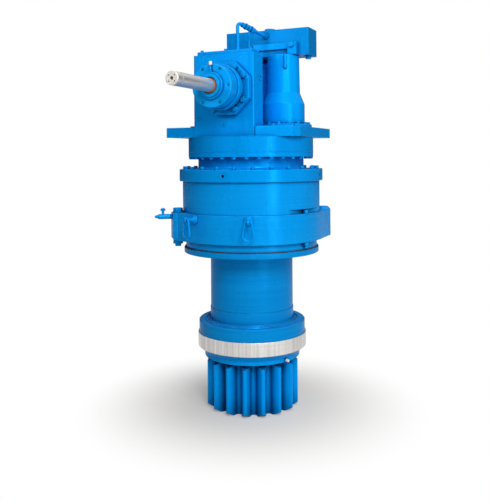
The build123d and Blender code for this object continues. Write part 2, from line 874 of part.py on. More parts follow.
def sun_shaft():
    low = gear_low - 1
    teeth = spur_gear(sun_teeth, planet_module, low, gear_top + 1, 0)
    shaft = turned([
        (0, low), (sun_shaft_radius, low), (sun_shaft_radius, spur_low), (main_seat_radius, spur_low),
        (main_seat_radius, spur_high + 2), (top_stub_radius, spur_high + 2), (top_stub_radius, case_top + 24),
        (0, case_top + 24),
    ])
    return teeth + shaft


def main_gear():
    gear = spur_gear(main_gear_teeth, spur_module, spur_low, spur_high, -90)
    groove = ring(58, 46, spur_low, spur_low + 6) + ring(58, 46, spur_high - 6, spur_high)
    return gear - groove - disc(main_seat_radius, spur_low, spur_high)


def sun_bearings():
    web_low = adapter_step + 5
    shapes = roller_bearing(sun_shaft_radius, 65, web_low, web_low + adapter_web, 14)
    return shapes + roller_bearing(top_stub_radius, 45, case_top + 2, case_top + 22, 12)


# Adapter and gear case


def adapter():
    edge = 1.5
    web_low = adapter_step + 5
    shape = turned([
        (adapter_bore, housing_top), (adapter_flange_radius - edge, housing_top),
        (adapter_flange_radius, housing_top + edge), (adapter_flange_radius, adapter_step - edge),
        (adapter_flange_radius - edge, adapter_step), (adapter_neck_radius, adapter_step),
        (adapter_neck_radius, adapter_top_low), (adapter_top_radius, adapter_top_low),
        (adapter_top_radius, case_low), (190, case_low), (190, web_low + adapter_web),
        (65, web_low + adapter_web), (65, web_low), (190, web_low), (190, adapter_step - 14),
        (adapter_bore, adapter_step - 22),
    ])
    shape = round_edge(shape, adapter_neck_radius, adapter_step, adapter_round)
    middle = (housing_top + adapter_step) / 2
    port = disc(port_radius, -port_depth, 2)
    spot = disc(port_boss_radius, -1.5, 10)
    ports = around(outwards(port + spot, port_start, adapter_flange_radius, middle), port_count)
    hole = disc(m10_socket[2] + screw_gap, housing_top, adapter_step, flange_screw_circle)
    shape = shape - around(hole, flange_screw_count, flange_screw_start)
    bolt_hole = disc(m10_hex[2] + screw_gap, adapter_top_low, case_low, case_bolt_circle)
    shape = shape - around(bolt_hole, case_bolt_count, case_bolt_start)
    for port_cut in ports:
        shape = shape - port_cut
    return shape


def flange_screws():
    screw = Pos(flange_screw_circle, 0, adapter_step) * socket_screw(m10_socket, adapter_flange_height + 25)
    return around(screw, flange_screw_count, flange_screw_start)


def case_bolts():
    bolt = Rot(180, 0, 0) * hex_screw(m10_hex, adapter_top_height + 22)
    bolt = Pos(case_bolt_circle, 0, adapter_top_low) * bolt
    return around(bolt, case_bolt_count, case_bolt_start)


def gear_case():
    floor = case_low + case_floor
    edge = 1.5
    shape = turned([
        (sun_shaft_radius + 6, case_low), (case_radius, case_low), (case_radius, case_top - edge),
        (case_radius - edge, case_top), (case_bore, case_top), (case_bore, floor),
        (sun_shaft_radius + 6, floor),
    ])
    tapped = disc(m10_hex[2], case_low, case_low + 24, case_bolt_circle)
    shape = shape - around(tapped, case_bolt_count, case_bolt_start)
    seat_low = floor - side_bearing_width
    for x, y in ((0, side_y), (brake_x, brake_y)):
        shape = shape - disc(30, seat_low, floor, x, y)
    for angle in plate_bolt_angles:
        shape = shape - Rot(0, 0, angle) * disc(m10_hex[2], case_top - 24, case_top, plate_bolt_circle)
    return shape


def case_plate():
    outline = Polyline(
        (plate_left, plate_front), (plate_corner_start, plate_front), (plate_right - 17, plate_corner_end),
        (plate_right, plate_corner_end + 40), (plate_right, plate_back), (plate_left, plate_back), close=True)
    plate = Pos(0, 0, case_top) * extrude(make_face(outline), plate_thickness)
    plate = chamfer(plate.edges().group_by(Axis.Z)[-1], 1.5)
    plate = plate - disc(45, case_top, case_top + 22) - disc(top_stub_radius + 4, case_top, case_top + 26)
    for x, y in ((0, side_y), (brake_x, brake_y)):
        plate = plate - disc(side_bearing_radius, case_top + 10, plate_top, x, y)
        plate = plate - disc(side_shaft_radius + 6, case_top, case_top + 10, x, y)
    for angle in plate_bolt_angles:
        hole = disc(m10_hex[2] + screw_gap, case_top, plate_top, plate_bolt_circle)
        plate = plate - Rot(0, 0, angle) * hole
    tapped = disc(m10_hex[2], plate_top - 20, plate_top, tower_bolt_circle)
    return plate - around(tapped, tower_bolt_count, 10, brake_x, brake_y)


def frame_bolts():
    """Like bolts of the plate, the brake tower and the tank bracket."""
    shapes = []
    for angle in plate_bolt_angles:
        bolt = Pos(plate_bolt_circle, 0, plate_top) * hex_screw(m10_hex, plate_thickness + 20)
        shapes.append(Rot(0, 0, angle) * bolt)
    tower_bolt = Pos(tower_bolt_circle, 0, plate_top + tower_flange_height) * hex_screw(m10_hex, 30)
    shapes += around(tower_bolt, tower_bolt_count, 10, brake_x, brake_y)
    shapes.append(bracket_bolt())
    return shapes


def side_bearings():
    """Bearings of the intermediate shaft and of the brake shaft."""
    floor = case_low + case_floor
    shapes = []
    for x, y in ((0, side_y), (brake_x, brake_y)):
        shapes += roller_bearing(15, 30, floor - side_bearing_width, floor, 10, x, y)
        low = case_top + 10
        high = low + side_bearing_width
        shapes += roller_bearing(side_shaft_radius, side_bearing_radius, low, high, 10, x, y)
    shapes += roller_bearing(side_shaft_radius, side_bearing_radius, upper_bearing_low,
                             upper_bearing_low + side_bearing_width, 10, 0, side_y)
    low = tower_bearing_low()
    shapes += roller_bearing(side_shaft_radius, side_bearing_radius, low, low + side_bearing_width, 10,
                             brake_x, brake_y)
    return shapes


# Bevel stage


def box_plan(inset):
    """Outline of the bevel box, drawn in from its walls. It leaves room for the brake tower."""
    outline = Polyline(
        (box_left, box_front), (box_right, box_front), (box_right, box_side_depth),
        (box_corner_x, box_corner_depth), (box_waist, box_waist_depth), (box_waist, box_back),
        (box_left, box_back), close=True)
    face = make_face(outline)
    return offset(face, -inset, kind=Kind.INTERSECTION) if inset else face


def bevel_housing():
    body = Pos(0, 0, plate_top) * extrude(box_plan(0), box_height)
    upright = [edge for edge in body.edges().filter_by(Axis.Z) if edge.center().Y < box_front + 1]
    body = fillet(upright, box_edge_round)
    skirt = block(box_left, box_right, box_front, plate_front, case_top, plate_top)
    rear = block(box_waist - box_wall, rear_wall_right, box_back - rear_wall, box_back, plate_top, box_top)
    body = body + skirt + rear
    floor = plate_top + box_floor
    body = body - Pos(0, 0, floor) * extrude(box_plan(box_wall), box_height - box_floor - box_rim_height)
    body = body - Pos(0, 0, box_top - box_rim_height) * extrude(box_plan(box_rim), box_rim_height)
    boss = disc(side_bearing_radius + 14, plate_top, upper_bearing_low + side_bearing_width + 4, 0, side_y)
    body = body + boss
    body = body - disc(side_bearing_radius, plate_top, upper_bearing_low + side_bearing_width, 0, side_y)
    body = body - disc(side_shaft_radius + 6, plate_top, box_top - box_rim_height, 0, side_y)
    body = body - facing_front(disc(cartridge_spigot, -box_front - box_wall - 1, -box_front + 1))
    for x, y in cartridge_bolt_places():
        body = body - facing_front(disc(m12_hex[2], -box_front - box_wall, -box_front, x, y))
    for x, y in lid_screw_places():
        body = body - disc(m8_socket[2], box_top - box_rim_height, box_top, x, y)
    for hole in plug_holes():
        body = body - hole
    return body


def lid_screw_places():
    """Places of the lid's screws, along the walls that the tank leaves open."""
    left = box_left + lid_screw_inset
    right = box_right - lid_screw_inset
    front = box_front + lid_screw_inset
    middle = (left + right) / 2
    back = tank_front - lid_screw_inset
    return [(left, front), (middle, front), (right, front), (right, box_side_depth - 14),
            (left, (front + back) / 2), (left, back), (box_waist + 40, box_waist_depth - 67)]


def bevel_housing_lid():
    lid = Pos(0, 0, box_top) * extrude(box_plan(lid_inset), lid_thickness)
    lid = chamfer(lid.edges().group_by(Axis.Z)[-1], 1.5)
    for x, y in lid_screw_places():
        lid = lid - disc(m8_socket[2] + screw_gap, box_top, lid_top, x, y)
    return lid - disc(pipe_radius + 3, box_top, lid_top, riser_x, riser_y)


def lid_screws():
    screw = socket_screw(m8_socket, lid_thickness + 16)
    return [Pos(x, y, lid_top) * screw for x, y in lid_screw_places()]


def cartridge_bolt_places():
    """Places of the cartridge's bolts on the pad, seen from the front."""
    return [polar(cartridge_bolt_circle, math.radians(angle)) for angle in cartridge_bolt_angles]


def input_cartridge():
    rear = -box_front
    spigot_end = rear - 21
    octagon = RegularPolygon(pad_half_width, 8, major_radius=False, rotation=22.5)
    pad = Pos(0, 0, rear) * extrude(octagon, pad_front - rear)
    pad = chamfer(pad.edges().group_by(Axis.Z)[-1], 2)
    second_seat = cartridge_front - 9 - input_bearing_width
    turned_part = turned([
        (input_bearing_radius - 6, spigot_end), (cartridge_spigot, spigot_end), (cartridge_spigot, rear + 5),
        (cartridge_neck, rear + 5), (cartridge_neck, cartridge_flange_back),
        (cartridge_flange, cartridge_flange_back + 3), (cartridge_flange, cartridge_front - 2),
        (cartridge_flange - 2, cartridge_front), (input_bearing_radius - 6, cartridge_front),
    ])
    body = pad + turned_part - disc(input_bearing_radius - 6, spigot_end, cartridge_front)
    body = body - disc(input_bearing_radius, spigot_end, spigot_end + input_bearing_width)
    body = body - disc(input_bearing_radius, second_seat, cartridge_front)
    for x, y in cartridge_bolt_places():
        body = body - disc(m12_hex[2] + screw_gap, rear, pad_front, x, y)
    tapped = disc(m8_socket[2], cartridge_front - 20, cartridge_front, cap_screw_circle)
    return facing_front(body - around(tapped, cap_screw_count, cap_screw_start))


def cartridge_bolts():
    screw = hex_screw(m12_hex, pad_front + box_front + box_wall)
    return [facing_front(Pos(x, y, pad_front) * screw) for x, y in cartridge_bolt_places()]


def input_bearings():
    spigot_end = -box_front - 21
    second_seat = cartridge_front - 9 - input_bearing_width
    shapes = []
    for low in (spigot_end, second_seat):
        high = low + input_bearing_width
        shapes += roller_bearing(input_journal_radius, input_bearing_radius, low, high, 13)
    return [facing_front(shape) for shape in shapes]


def input_cap():
    opening = input_tip_radius + 2
    seal_low = boss_front - 4 - input_seal_width
    body = turned([
        (input_journal_radius + 4, cartridge_front - 9), (input_bearing_radius, cartridge_front - 9),
        (input_bearing_radius, cartridge_front), (cap_radius, cartridge_front), (cap_radius, cap_front - 3),
        (cap_radius - 3, cap_front), (boss_radius, cap_front), (boss_radius, boss_front - boss_step),
        (boss_step_radius, boss_front - boss_step), (boss_step_radius, boss_front),
        (input_seal_radius, boss_front), (input_seal_radius, seal_low), (opening, seal_low),
        (opening, cartridge_front + 12), (input_journal_radius + 4, cartridge_front + 12),
    ])
    hole = disc(m8_socket[2] + screw_gap, cartridge_front, cap_front, cap_screw_circle)
    recess = disc(m8_socket[0] + screw_gap, cap_front - m8_socket[1], cap_front, cap_screw_circle)
    body = body - around(hole + recess, cap_screw_count, cap_screw_start)
    middle = (cap_front + boss_front - boss_step) / 2
    socket = Pos(0, boss_radius - 12, middle) * Rot(-90, 0, 0) * disc(3, 0, 14)
    return facing_front(body - socket)


def cap_screws():
    seat = cap_front - m8_socket[1]
    screw = Pos(cap_screw_circle, 0, seat) * socket_screw(m8_socket, seat - cartridge_front + 18)
    return [facing_front(shape) for shape in around(screw, cap_screw_count, cap_screw_start)]


def input_seal():
    low = boss_front - 4 - input_seal_width
    inner = input_tip_radius + running_gap
    high = low + input_seal_width
    return facing_front(turned([(inner, low), (input_seal_radius, low), (input_seal_radius, high),
                                (inner + 3, high), (inner, high - 3)]))


def input_shaft():
    """Shaft with its bevel pinion cut on the inner end and a clip groove near the tip."""
    apex = -side_y
    pinion = bevel_gear(bevel_pinion_teeth, bevel_wheel_teeth, -90)
    pinion = Pos(0, 0, apex) * Rot(180, 0, 0) * Rot(0, 0, 180) * pinion
    heel = apex + bevel_wheel_radius + bevel_module * 0.4
    shoulder = cartridge_front + 4
    clip = input_tip - clip_from_tip
    clip_radius = input_tip_radius - clip_depth
    shaft = turned([
        (0, heel - 4), (input_neck_radius, heel - 4), (input_neck_radius, heel + 6),
        (input_journal_radius, heel + 6), (input_journal_radius, shoulder),
        (input_tip_radius, shoulder + 4), (input_tip_radius, clip - clip_width),
        (clip_radius, clip - clip_width), (clip_radius, clip), (input_tip_radius, clip),
        (input_tip_radius, input_tip - 2), (input_tip_radius - 2, input_tip), (0, input_tip),
    ])
    slot_high = input_tip - key_from_tip
    slot_low = slot_high - key_length
    slot = block(-key_width / 2, key_width / 2, input_tip_radius - key_depth, input_tip_radius + 5,
                 slot_low, slot_high)
    shaft = shaft - Rot(0, 0, key_turn) * slot - Rot(0, 0, key_turn + 180) * slot
    shaft = shaft - disc(centre_hole_radius, input_tip - 30, input_tip)
    shaft = shaft - around(disc(2.5, input_tip - 14, input_tip, tip_hole_circle), 4, 45)
    return facing_front(pinion + shaft)


def intermediate_shaft():
    low = case_low + case_floor - side_bearing_width
    floor = case_low + case_floor
    high = input_height - bevel_pinion_radius - 6
    pinion_first = meshing_tooth(-90, main_gear_teeth, -90, spur_pinion_teeth)
    pinion = spur_gear(spur_pinion_teeth, spur_module, spur_low - 2, spur_high + 1, pinion_first)
    shaft = turned([(0, low), (15, low), (15, floor + 1), (side_shaft_radius, floor + 1),
                    (side_shaft_radius, high), (0, high)])
    return Pos(0, side_y, 0) * (shaft + pinion)


def bevel_wheel():
    first = -90 + 180 / bevel_wheel_teeth
    wheel = bevel_gear(bevel_wheel_teeth, bevel_pinion_teeth, first)
    wheel = Pos(0, 0, input_height) * wheel
    back = input_height - bevel_pinion_radius - bevel_module
    hub_low = upper_bearing_low + side_bearing_width + 6
    wheel = wheel + disc(32, hub_low, back)
    bore = disc(side_shaft_radius, hub_low, input_height - bevel_pinion_radius - 6)
    return Pos(0, side_y, 0) * (wheel - bore)


# Brake tower


def tower_bearing_low():
    return plate_top + tower_low_height + 10


def tower_housing():
    wall = tower_wall
    shoulder = plate_top + tower_low_height
    neck_start = shoulder + tower_cone_height
    web_low = tower_bearing_low() - 4
    web_high = web_low + side_bearing_width + 4
    shape = turned([
        (tower_radius - wall, plate_top), (tower_flange_radius - 1, plate_top),
        (tower_flange_radius, plate_top + 1), (tower_flange_radius, plate_top + tower_flange_height - 2),
        (tower_flange_radius - 2, plate_top + tower_flange_height),
        (tower_radius, plate_top + tower_flange_height),
        (tower_radius, shoulder), (tower_neck_radius, neck_start), (tower_top_radius, tower_top - 3),
        (tower_top_radius - 3, tower_top), (0, tower_top), (0, tower_top - wall),
        (tower_top_radius - wall, tower_top - wall), (tower_top_radius - wall, web_high + 4),
        (side_bearing_radius, web_high + 4), (side_bearing_radius, web_low + 4),
        (side_shaft_radius + 6, web_low + 4), (side_shaft_radius + 6, web_low),
        (tower_radius - wall, shoulder - 4),
    ], brake_x, brake_y)
    hole = disc(m10_hex[2] + screw_gap, plate_top, plate_top + tower_flange_height, tower_bolt_circle)
    return shape - around(hole, tower_bolt_count, 10, brake_x, brake_y)


def brake_plates(fixed):
    """Fixed plates reach the housing, turning plates reach the shaft."""
    pitch = 2 * (brake_plate + brake_gap)
    first = plate_top + 30
    outer = tower_radius - tower_wall
    shapes = []
    for i in range(brake_plate_count + (1 if fixed else 0)):
        low = first + pitch * i - (pitch / 2 if fixed else 0)
        if fixed:
            shapes.append(ring(outer, brake_inner, low, low + brake_plate, brake_x, brake_y))
        else:
            shapes.append(ring(brake_outer, side_shaft_radius, low, low + brake_plate, brake_x, brake_y))
    return shapes


def brake_shaft():
    low = case_low + case_floor - side_bearing_width
    floor = case_low + case_floor
    high = tower_bearing_low() + side_bearing_width + 2
    first = meshing_tooth(-90, main_gear_teeth, brake_angle, brake_gear_teeth)
    gear = spur_gear(brake_gear_teeth, spur_module, spur_low + 1, spur_high - 2, first)
    shaft = turned([(0, low), (15, low), (15, floor + 1), (side_shaft_radius, floor + 1),
                    (side_shaft_radius, high), (0, high)])
    return Pos(brake_x, brake_y, 0) * (shaft + gear)


# Oil tank and pipe


def oil_tank():
    low = lid_top
    high = low + tank_height
    body = block(tank_left, tank_right, tank_front, tank_back, low, high)
    body = chamfer(body.edges().filter_by(Axis.Z), 2)
    body = body - block(tank_left + tank_wall, tank_right - tank_wall, tank_front + tank_wall,
                        tank_back - tank_wall, low + tank_wall, high - tank_wall)
    middle = (tank_front + tank_back) / 2
    body = body - disc(filler_radius - 8, high - tank_wall, high, filler_x, middle)
    body = body - disc(8, low, low + tank_wall, drain_x, middle)
    inlet = Rot(-90, 0, 0) * disc(pipe_radius, 0, tank_wall)
    return body - Pos(pipe_end_x, tank_front, pipe_end_height) * inlet


def filler_cap():
    low = lid_top + tank_height
    middle = (tank_front + tank_back) / 2
    stem = disc(filler_radius - 8, low - 14, low)
    flute = disc(2.5, low + 3, low + filler_height, filler_radius + 1)
    head = chamfer(disc(filler_radius, low, low + filler_height).edges().group_by(Axis.Z)[-1], 2)
    head = head - around(flute, 16)
    return Pos(filler_x, middle, 0) * (head + stem)


def drain_plug():
    middle = (tank_front + tank_back) / 2
    low = lid_top
    plug = disc(8, low - 4, low + tank_wall + 2) + disc(16.5, low - 3, low)
    plug = plug + Pos(0, 0, low - 13) * extrude(RegularPolygon(13, 6), 10)
    return Pos(drain_x, middle, 0) * plug


def tank_bracket():
    low = lid_top + bracket_low
    front = tank_front - bracket_depth
    bar = block(bracket_left, bracket_right, front, tank_front, low, low + bracket_height)
    bar = chamfer(bar.edges().filter_by(Axis.Z), 2)
    foot_left = bracket_right - bracket_foot
    foot = block(foot_left, bracket_right, front - 14, tank_front, tower_top, low + bracket_height)
    hole = Pos(foot_left + bracket_foot / 2, front - 14, low + bracket_height / 2)
    return bar + foot - hole * Rot(-90, 0, 0) * disc(m12_hex[2], 0, 24)


def bracket_bolt():
    x = bracket_right - bracket_foot / 2
    z = lid_top + bracket_low + bracket_height / 2
    return Pos(x, tank_front - bracket_depth - 14, z) * Rot(90, 0, 0) * hex_screw(m12_hex, 22)


def pipe_path():
    return FilletPolyline(
        (riser_x, riser_y, box_top), (riser_x, riser_y, riser_top),
        (pipe_end_x, tank_front - 22, pipe_end_height), (pipe_end_x, tank_front + tank_wall, pipe_end_height),
        radius=pipe_bend)


def oil_pipe():
    section = Plane(origin=(riser_x, riser_y, box_top), z_dir=(0, 0, 1)) * Circle(pipe_radius)
    return sweep(section, pipe_path())


def along_run(share):
    """Plane on the sloping run of the pipe, facing along it."""
    start = Vector(riser_x, riser_y, riser_top)
    end = Vector(pipe_end_x, tank_front - 22, pipe_end_height)
    return Plane(origin=start + (end - start) * share, z_dir=end - start)


def pipe_fittings():
    """Base collar, nuts, union and tee, each bored for the pipe, and the tap under the tee."""
    bore = Cylinder(pipe_radius, 60)
    sleeve = turned([(0, 0), (13, 0), (13, 8), (10, 12), (10, 20), (0, 20)]) - disc(pipe_radius, 0, 20)
    shapes = [Pos(riser_x, riser_y, lid_top) * sleeve]
    sleeves = ((0.2, 10.5, 13), (0.31, 13.5, 9), (0.42, 12.0, 12), (0.52, 13.5, 8), (0.6, 10.5, 13))
    for share, radius, length in sleeves:
        nut = extrude(RegularPolygon(radius, 6), length / 2, both=True) - bore
        shapes.append(along_run(share) * nut)
    end_nut = Pos(pipe_end_x, tank_front - 12, pipe_end_height) * Rot(-90, 0, 0)
    shapes.append(end_nut * (extrude(RegularPolygon(13, 6), 12) - disc(pipe_radius, 0, 12)))
    tee = along_run(0.42).origin
    tap = disc(3.0, lid_top, tee.Z - 9, tee.X, tee.Y)
    tap = tap + block(tee.X - 9, tee.X + 9, tee.Y - 3, tee.Y + 3, tee.Z - 34, tee.Z - 29)
    shapes.append(tap + disc(8, lid_top, lid_top + 8, tee.X, tee.Y))
    return shapes


def sight_tube():
    """Short tube that runs down beside the tower, with its end fitting."""
    x, y = polar(tower_neck_radius + sight_tube_radius + 0.7, math.radians(sight_tube_angle))
    x += brake_x
    y += brake_y
    tube = disc(sight_tube_radius, tower_top - 46, tower_top - 1, x, y)
    nub = disc(sight_tube_radius + 2, tower_top - 60, tower_top - 46, x, y)
    return tube + chamfer(nub.edges().group_by(Axis.Z)[0], 3)


# Plugs and nipples


def plug_places():
    """Threaded plugs of the bevel box: place of each mouth and the turn that points it outwards."""
    return [
        (Pos(-130, box_front, plate_top + 36) * Rot(90, 0, 0), 6),
        (Pos(-20, box_front, plate_top + 6) * Rot(90, 0, 0), 4),
        (Pos(box_right, -152, plate_top + 194) * Rot(0, 90, 0), 13),
    ]


def plug_holes():
    return [place * disc(radius, -8, 0) for place, radius in plug_places()]


def box_plugs():
    shapes = []
    for place, radius in plug_places():
        plug = disc(radius, -8, 0) + disc(radius + 3, 0, 2)
        shapes.append(place * (plug - Pos(0, 0, -1) * extrude(RegularPolygon(radius * 0.55, 6), 3)))
    return shapes + [drain_plug()]


def nipple_place():
    return Rot(0, 0, -90 + 66.3) * Pos(lip_radius, 0, lip_low + 8) * Rot(0, 90, 0)


def nipple_socket():
    return nipple_place() * disc(3, -10, 0)


def grease_nipples():
    """Nipple on the boss of the input cap and nipple on the lip cover."""
    nipple = turned([(0, -10), (3, -10), (3, 0), (6, 0), (6, 4), (3.5, 5), (3.5, 10), (4.5, 12),
                     (2.5, 16), (0, 16)])
    middle = (cap_front + boss_front - boss_step) / 2
    upper = Pos(0, boss_radius + 1, middle) * Rot(-90, 0, 0) * nipple
    long_stem = Pos(0, boss_radius + 1, middle) * Rot(-90, 0, 0) * disc(3.5, 8, 34)
    return [facing_front(upper + long_stem), nipple_place() * nipple]


nodes = {
    "output_pinion": output_pinion(),
    "output_shaft": output_shaft(),
    "pinion_end_plate": end_plate(),
    "end_plate_bolts": solids_of(end_bolts()),
    "lip_cover": lip_cover(),
    "output_seal": output_seal(),
    "output_housing": output_housing(),
    "output_bearings": solids_of(output_bearings()),
    "pilot_ring": pilot_ring(),
    "flange_seal": flange_seal(),
    "mounting_ring": mounting_ring(),
    "ring_bolts": solids_of(ring_bolts()),
    "long_bolts": solids_of(long_bolts()),
    "eyebolts": solids_of([eyebolt(angle) for angle in link_angles]),
    "lifting_link_left": lifting_link(link_angles[0]),
    "lifting_link_right": lifting_link(link_angles[1]),
    "drain_valve": drain_valve(),
    "valve_knob": valve_knob(),
    "ring_gear_housing": ring_gear_housing(),
    "ring_gear": ring_gear(),
    "planet_carrier": planet_carrier(),
    "planet_pins": solids_of(planet_pins()),
    "planet_bearings": solids_of(planet_bearings()),
    "sun_shaft": sun_shaft(),
    "main_gear": main_gear(),
    "sun_bearings": solids_of(sun_bearings()),
    "adapter": adapter(),
    "flange_screws": solids_of(flange_screws()),
    "case_bolts": solids_of(case_bolts()),
    "gear_case": gear_case(),
    "case_plate": case_plate(),
    "frame_bolts": solids_of(frame_bolts()),
    "side_bearings": solids_of(side_bearings()),
    "bevel_housing": bevel_housing(),
    "bevel_housing_lid": bevel_housing_lid(),
    "input_cartridge": input_cartridge(),
    "cartridge_bolts": solids_of(cartridge_bolts()),
    "input_bearings": solids_of(input_bearings()),
    "input_cap": input_cap(),
    "cover_screws": solids_of(cap_screws(), lid_screws(), lip_screws()),
    "input_seal": input_seal(),
    "input_shaft": input_shaft(),
    "intermediate_shaft": intermediate_shaft(),
    "bevel_wheel": bevel_wheel(),
    "tower_housing": tower_housing(),
    "fixed_brake_plates": solids_of(brake_plates(True)),
    "turning_brake_plates": solids_of(brake_plates(False)),
    "brake_shaft": brake_shaft(),
    "oil_tank": oil_tank(),
    "filler_cap": filler_cap(),
    "tank_bracket": tank_bracket(),
    "oil_pipe": oil_pipe(),
    "pipe_fittings": solids_of(pipe_fittings()),
    "sight_tube": sight_tube(),
    "box_plugs": solids_of(box_plugs()),
    "grease_nipples": solids_of(grease_nipples()),
}
for index in range(planet_count):
    nodes[f"planet_gear_{index + 1}"] = planet_gear(index)

for name, shape in nodes.items():
    export_step(shape, f"parts/{name}.step")
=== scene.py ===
"""Studio scene of an upright planetary gear reducer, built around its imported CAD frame."""

import math

import bpy
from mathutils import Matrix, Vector


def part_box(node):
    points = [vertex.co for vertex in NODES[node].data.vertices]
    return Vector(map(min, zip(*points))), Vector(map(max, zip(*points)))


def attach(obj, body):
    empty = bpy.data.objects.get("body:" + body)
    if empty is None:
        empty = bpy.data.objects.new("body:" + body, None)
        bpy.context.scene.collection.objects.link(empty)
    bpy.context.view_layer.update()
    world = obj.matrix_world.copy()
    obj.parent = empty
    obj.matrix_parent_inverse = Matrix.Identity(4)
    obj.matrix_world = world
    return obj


bl_info = {
    "name": "Planetary gear reducer",
    "version": (1, 0, 0),
    "blender": (4, 5, 0),
    "location": "View3D > Sidebar > Reducer",
    "description": "Finishes and small details of a planetary gear reducer, with its studio",
    "category": "Object",
}

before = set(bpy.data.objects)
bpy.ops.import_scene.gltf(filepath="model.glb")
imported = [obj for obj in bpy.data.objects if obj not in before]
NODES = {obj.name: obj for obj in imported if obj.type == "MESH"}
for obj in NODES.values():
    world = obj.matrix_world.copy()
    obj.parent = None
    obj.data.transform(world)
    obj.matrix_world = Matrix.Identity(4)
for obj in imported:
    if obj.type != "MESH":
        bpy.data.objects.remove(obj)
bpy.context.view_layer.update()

# Enamels of the CAD nodes: name, nodes, and what differs from the usual enamel
ENAMELS = (
    (
        "Cast enamel",
        ("adapter", "bevel_housing", "input_cartridge"),
        {"lumps": 0.55, "peel": 0.5, "runs": 0.15},
    ),
    # A tone above 1 paints a part lighter, below 1 darker: painted light and shade on the whole
    # part
    (
        "Bright cast enamel",
        ("tower_housing",),
        {"lumps": 0.55, "peel": 0.5, "runs": 0.10, "tone_and_painted_light": 1.12},
    ),
    (
        "Dark cast enamel",
        ("gear_case",),
        {"lumps": 0.55, "peel": 0.5, "runs": 0.12, "tone_and_painted_light": 0.95},
    ),
    (
        "Turned enamel",
        ("mounting_ring", "ring_gear_housing", "lip_cover"),
        {"lines": 1.1, "peel": 0.35},
    ),
    (
        "Neck enamel",
        ("output_housing",),
        {"lines": 1.3, "peel": 0.35, "runs": 0.06, "tone_and_painted_light": 0.82},
    ),
    (
        "Cap enamel",
        ("input_cap",),
        {"lines": 0.8, "about_input": True},
    ),
    (
        "Plate enamel",
        ("case_plate", "bevel_housing_lid", "tank_bracket"),
        {"peel": 0.45, "dust_and_top_light": 0.6, "runs": 0.18},
    ),
    (
        "Tank enamel",
        ("oil_tank",),
        {"peel": 0.45, "dust_and_top_light": 0.6, "runs": 0.14, "tone_and_painted_light": 0.76},
    ),
    (
        "Fastener enamel",
        (
            "ring_bolts", "long_bolts", "flange_screws", "case_bolts", "frame_bolts",
            "cartridge_bolts", "cover_screws", "box_plugs", "eyebolts", "drain_valve",
            "valve_knob", "filler_cap", "oil_pipe", "pipe_fittings", "sight_tube",
            "lifting_link_left", "lifting_link_right", "grease_nipples",
        ),
        {"peel": 0.25, "dust_and_top_light": 0.3, "edge_highlight": 0.8},
    ),
    (
        "Tooth enamel",
        ("output_pinion",),
        {"peel": 0.5, "lumps": 0.12, "edge_highlight": 0.9, "gap_shade_reach": 0.09, "tone_and_painted_light": 1.12},
    ),
)

# Inner nodes by finish
GEARS = (
    "ring_gear", "planet_gear_1", "planet_gear_2", "planet_gear_3", "sun_shaft", "main_gear",
    "intermediate_shaft", "bevel_wheel", "brake_shaft", "output_shaft", "planet_carrier",
    "pinion_end_plate", "end_plate_bolts",
)
BEARINGS = (
    "output_bearings", "sun_bearings", "side_bearings", "input_bearings", "planet_bearings",
    "planet_pins",
)
SEALS = ("output_seal", "input_seal", "flange_seal")
LININGS = ("fixed_brake_plates", "turning_brake_plates")

# Places taken from the frame
HOUSING_LOW, HOUSING_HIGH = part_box("ring_gear_housing")
CASE_LOW, CASE_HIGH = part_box("gear_case")
BOX_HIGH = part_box("bevel_housing")[1]
LID_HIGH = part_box("bevel_housing_lid")[1]
TANK_LOW, TANK_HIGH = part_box("oil_tank")
SEAL_LOW, SEAL_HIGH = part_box("flange_seal")
CAP_LOW, CAP_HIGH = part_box("input_cap")
NIPPLES_LOW, NIPPLES_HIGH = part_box("grease_nipples")
INPUT_HEIGHT = (CAP_LOW.z + CAP_HIGH.z) / 2

# Places on a node that its box doesn't give, in metres
FOOT_TOP = 0.356  # shoulder of the output housing from which the neck rises
UPPER_NIPPLE_SETBACK = 0.012  # from the front of the input cap
LOWER_NIPPLE_RISE = 0.006  # of its axis over its lowest point
LOWER_NIPPLE_TURN = math.radians(-23.7)
LINK_BAR = 0.0045  # radius of a lifting link's bar

# Shares that the enamel's effects have in its colour and roughness
PATCH_TONE = 0.96  # colour of the darker patches
LATHE_SHINE = 0.16  # painted sheen along the lathe's lines
PATCH_ROUGHNESS = 0.10
DUST_ROUGHNESS = 0.35

# Shares that the tool marks have in the steel's roughness, and the shade of its upright bands of
# painted reflection
SMEAR_ROUGHNESS = 0.14
LATHE_ROUGHNESS = 0.08
REFLECTION_BAND_SHADE = 0.45

# Heights of the bumps, and the soft edge of bare steel, in metres
ENAMEL_RELIEF = 0.00022
STEEL_RELIEF = 0.00006
STEEL_EDGE = 0.0006

# Beads round the foot of the neck: step inwards, thickness in metres, and seed
FOOT_BEADS = ((0, 0.0045, 11), (0.012, 0.0025, 12))

# Steps round a laid bead, and round its section
BEAD_STEPS = 168
SECTION_STEPS = 8

# Directions in the studio, level, seen from the side of the photograph
TO_THE_RIGHT = (0.911, 0.412, 0)
TO_THE_BACK = (-0.412, 0.911, 0)

# Lamps: name, setting with the power, place, aim, width, height and spread
OBJECT_MIDDLE = (0, 0, 0.85)
INPUT_BOX_MIDDLE = (-0.15, -0.3, 1.16)
LAMPS = (
    ("Key", "key_power", (1.9, -2.75, 2.8), OBJECT_MIDDLE, 1.3, 1.3, math.radians(180)),
    ("Fill", "fill_power", (3.0, -1.85, 1.5), OBJECT_MIDDLE, 0.3, 2.4, math.radians(180)),
    ("Top", "top_power", (0.3, -0.2, 3.6), OBJECT_MIDDLE, 2.2, 2.2, math.radians(180)),
    ("Box light", "box_power", (-0.9, -2.6, 2.0), INPUT_BOX_MIDDLE, 0.5, 0.5, math.radians(34)),
)

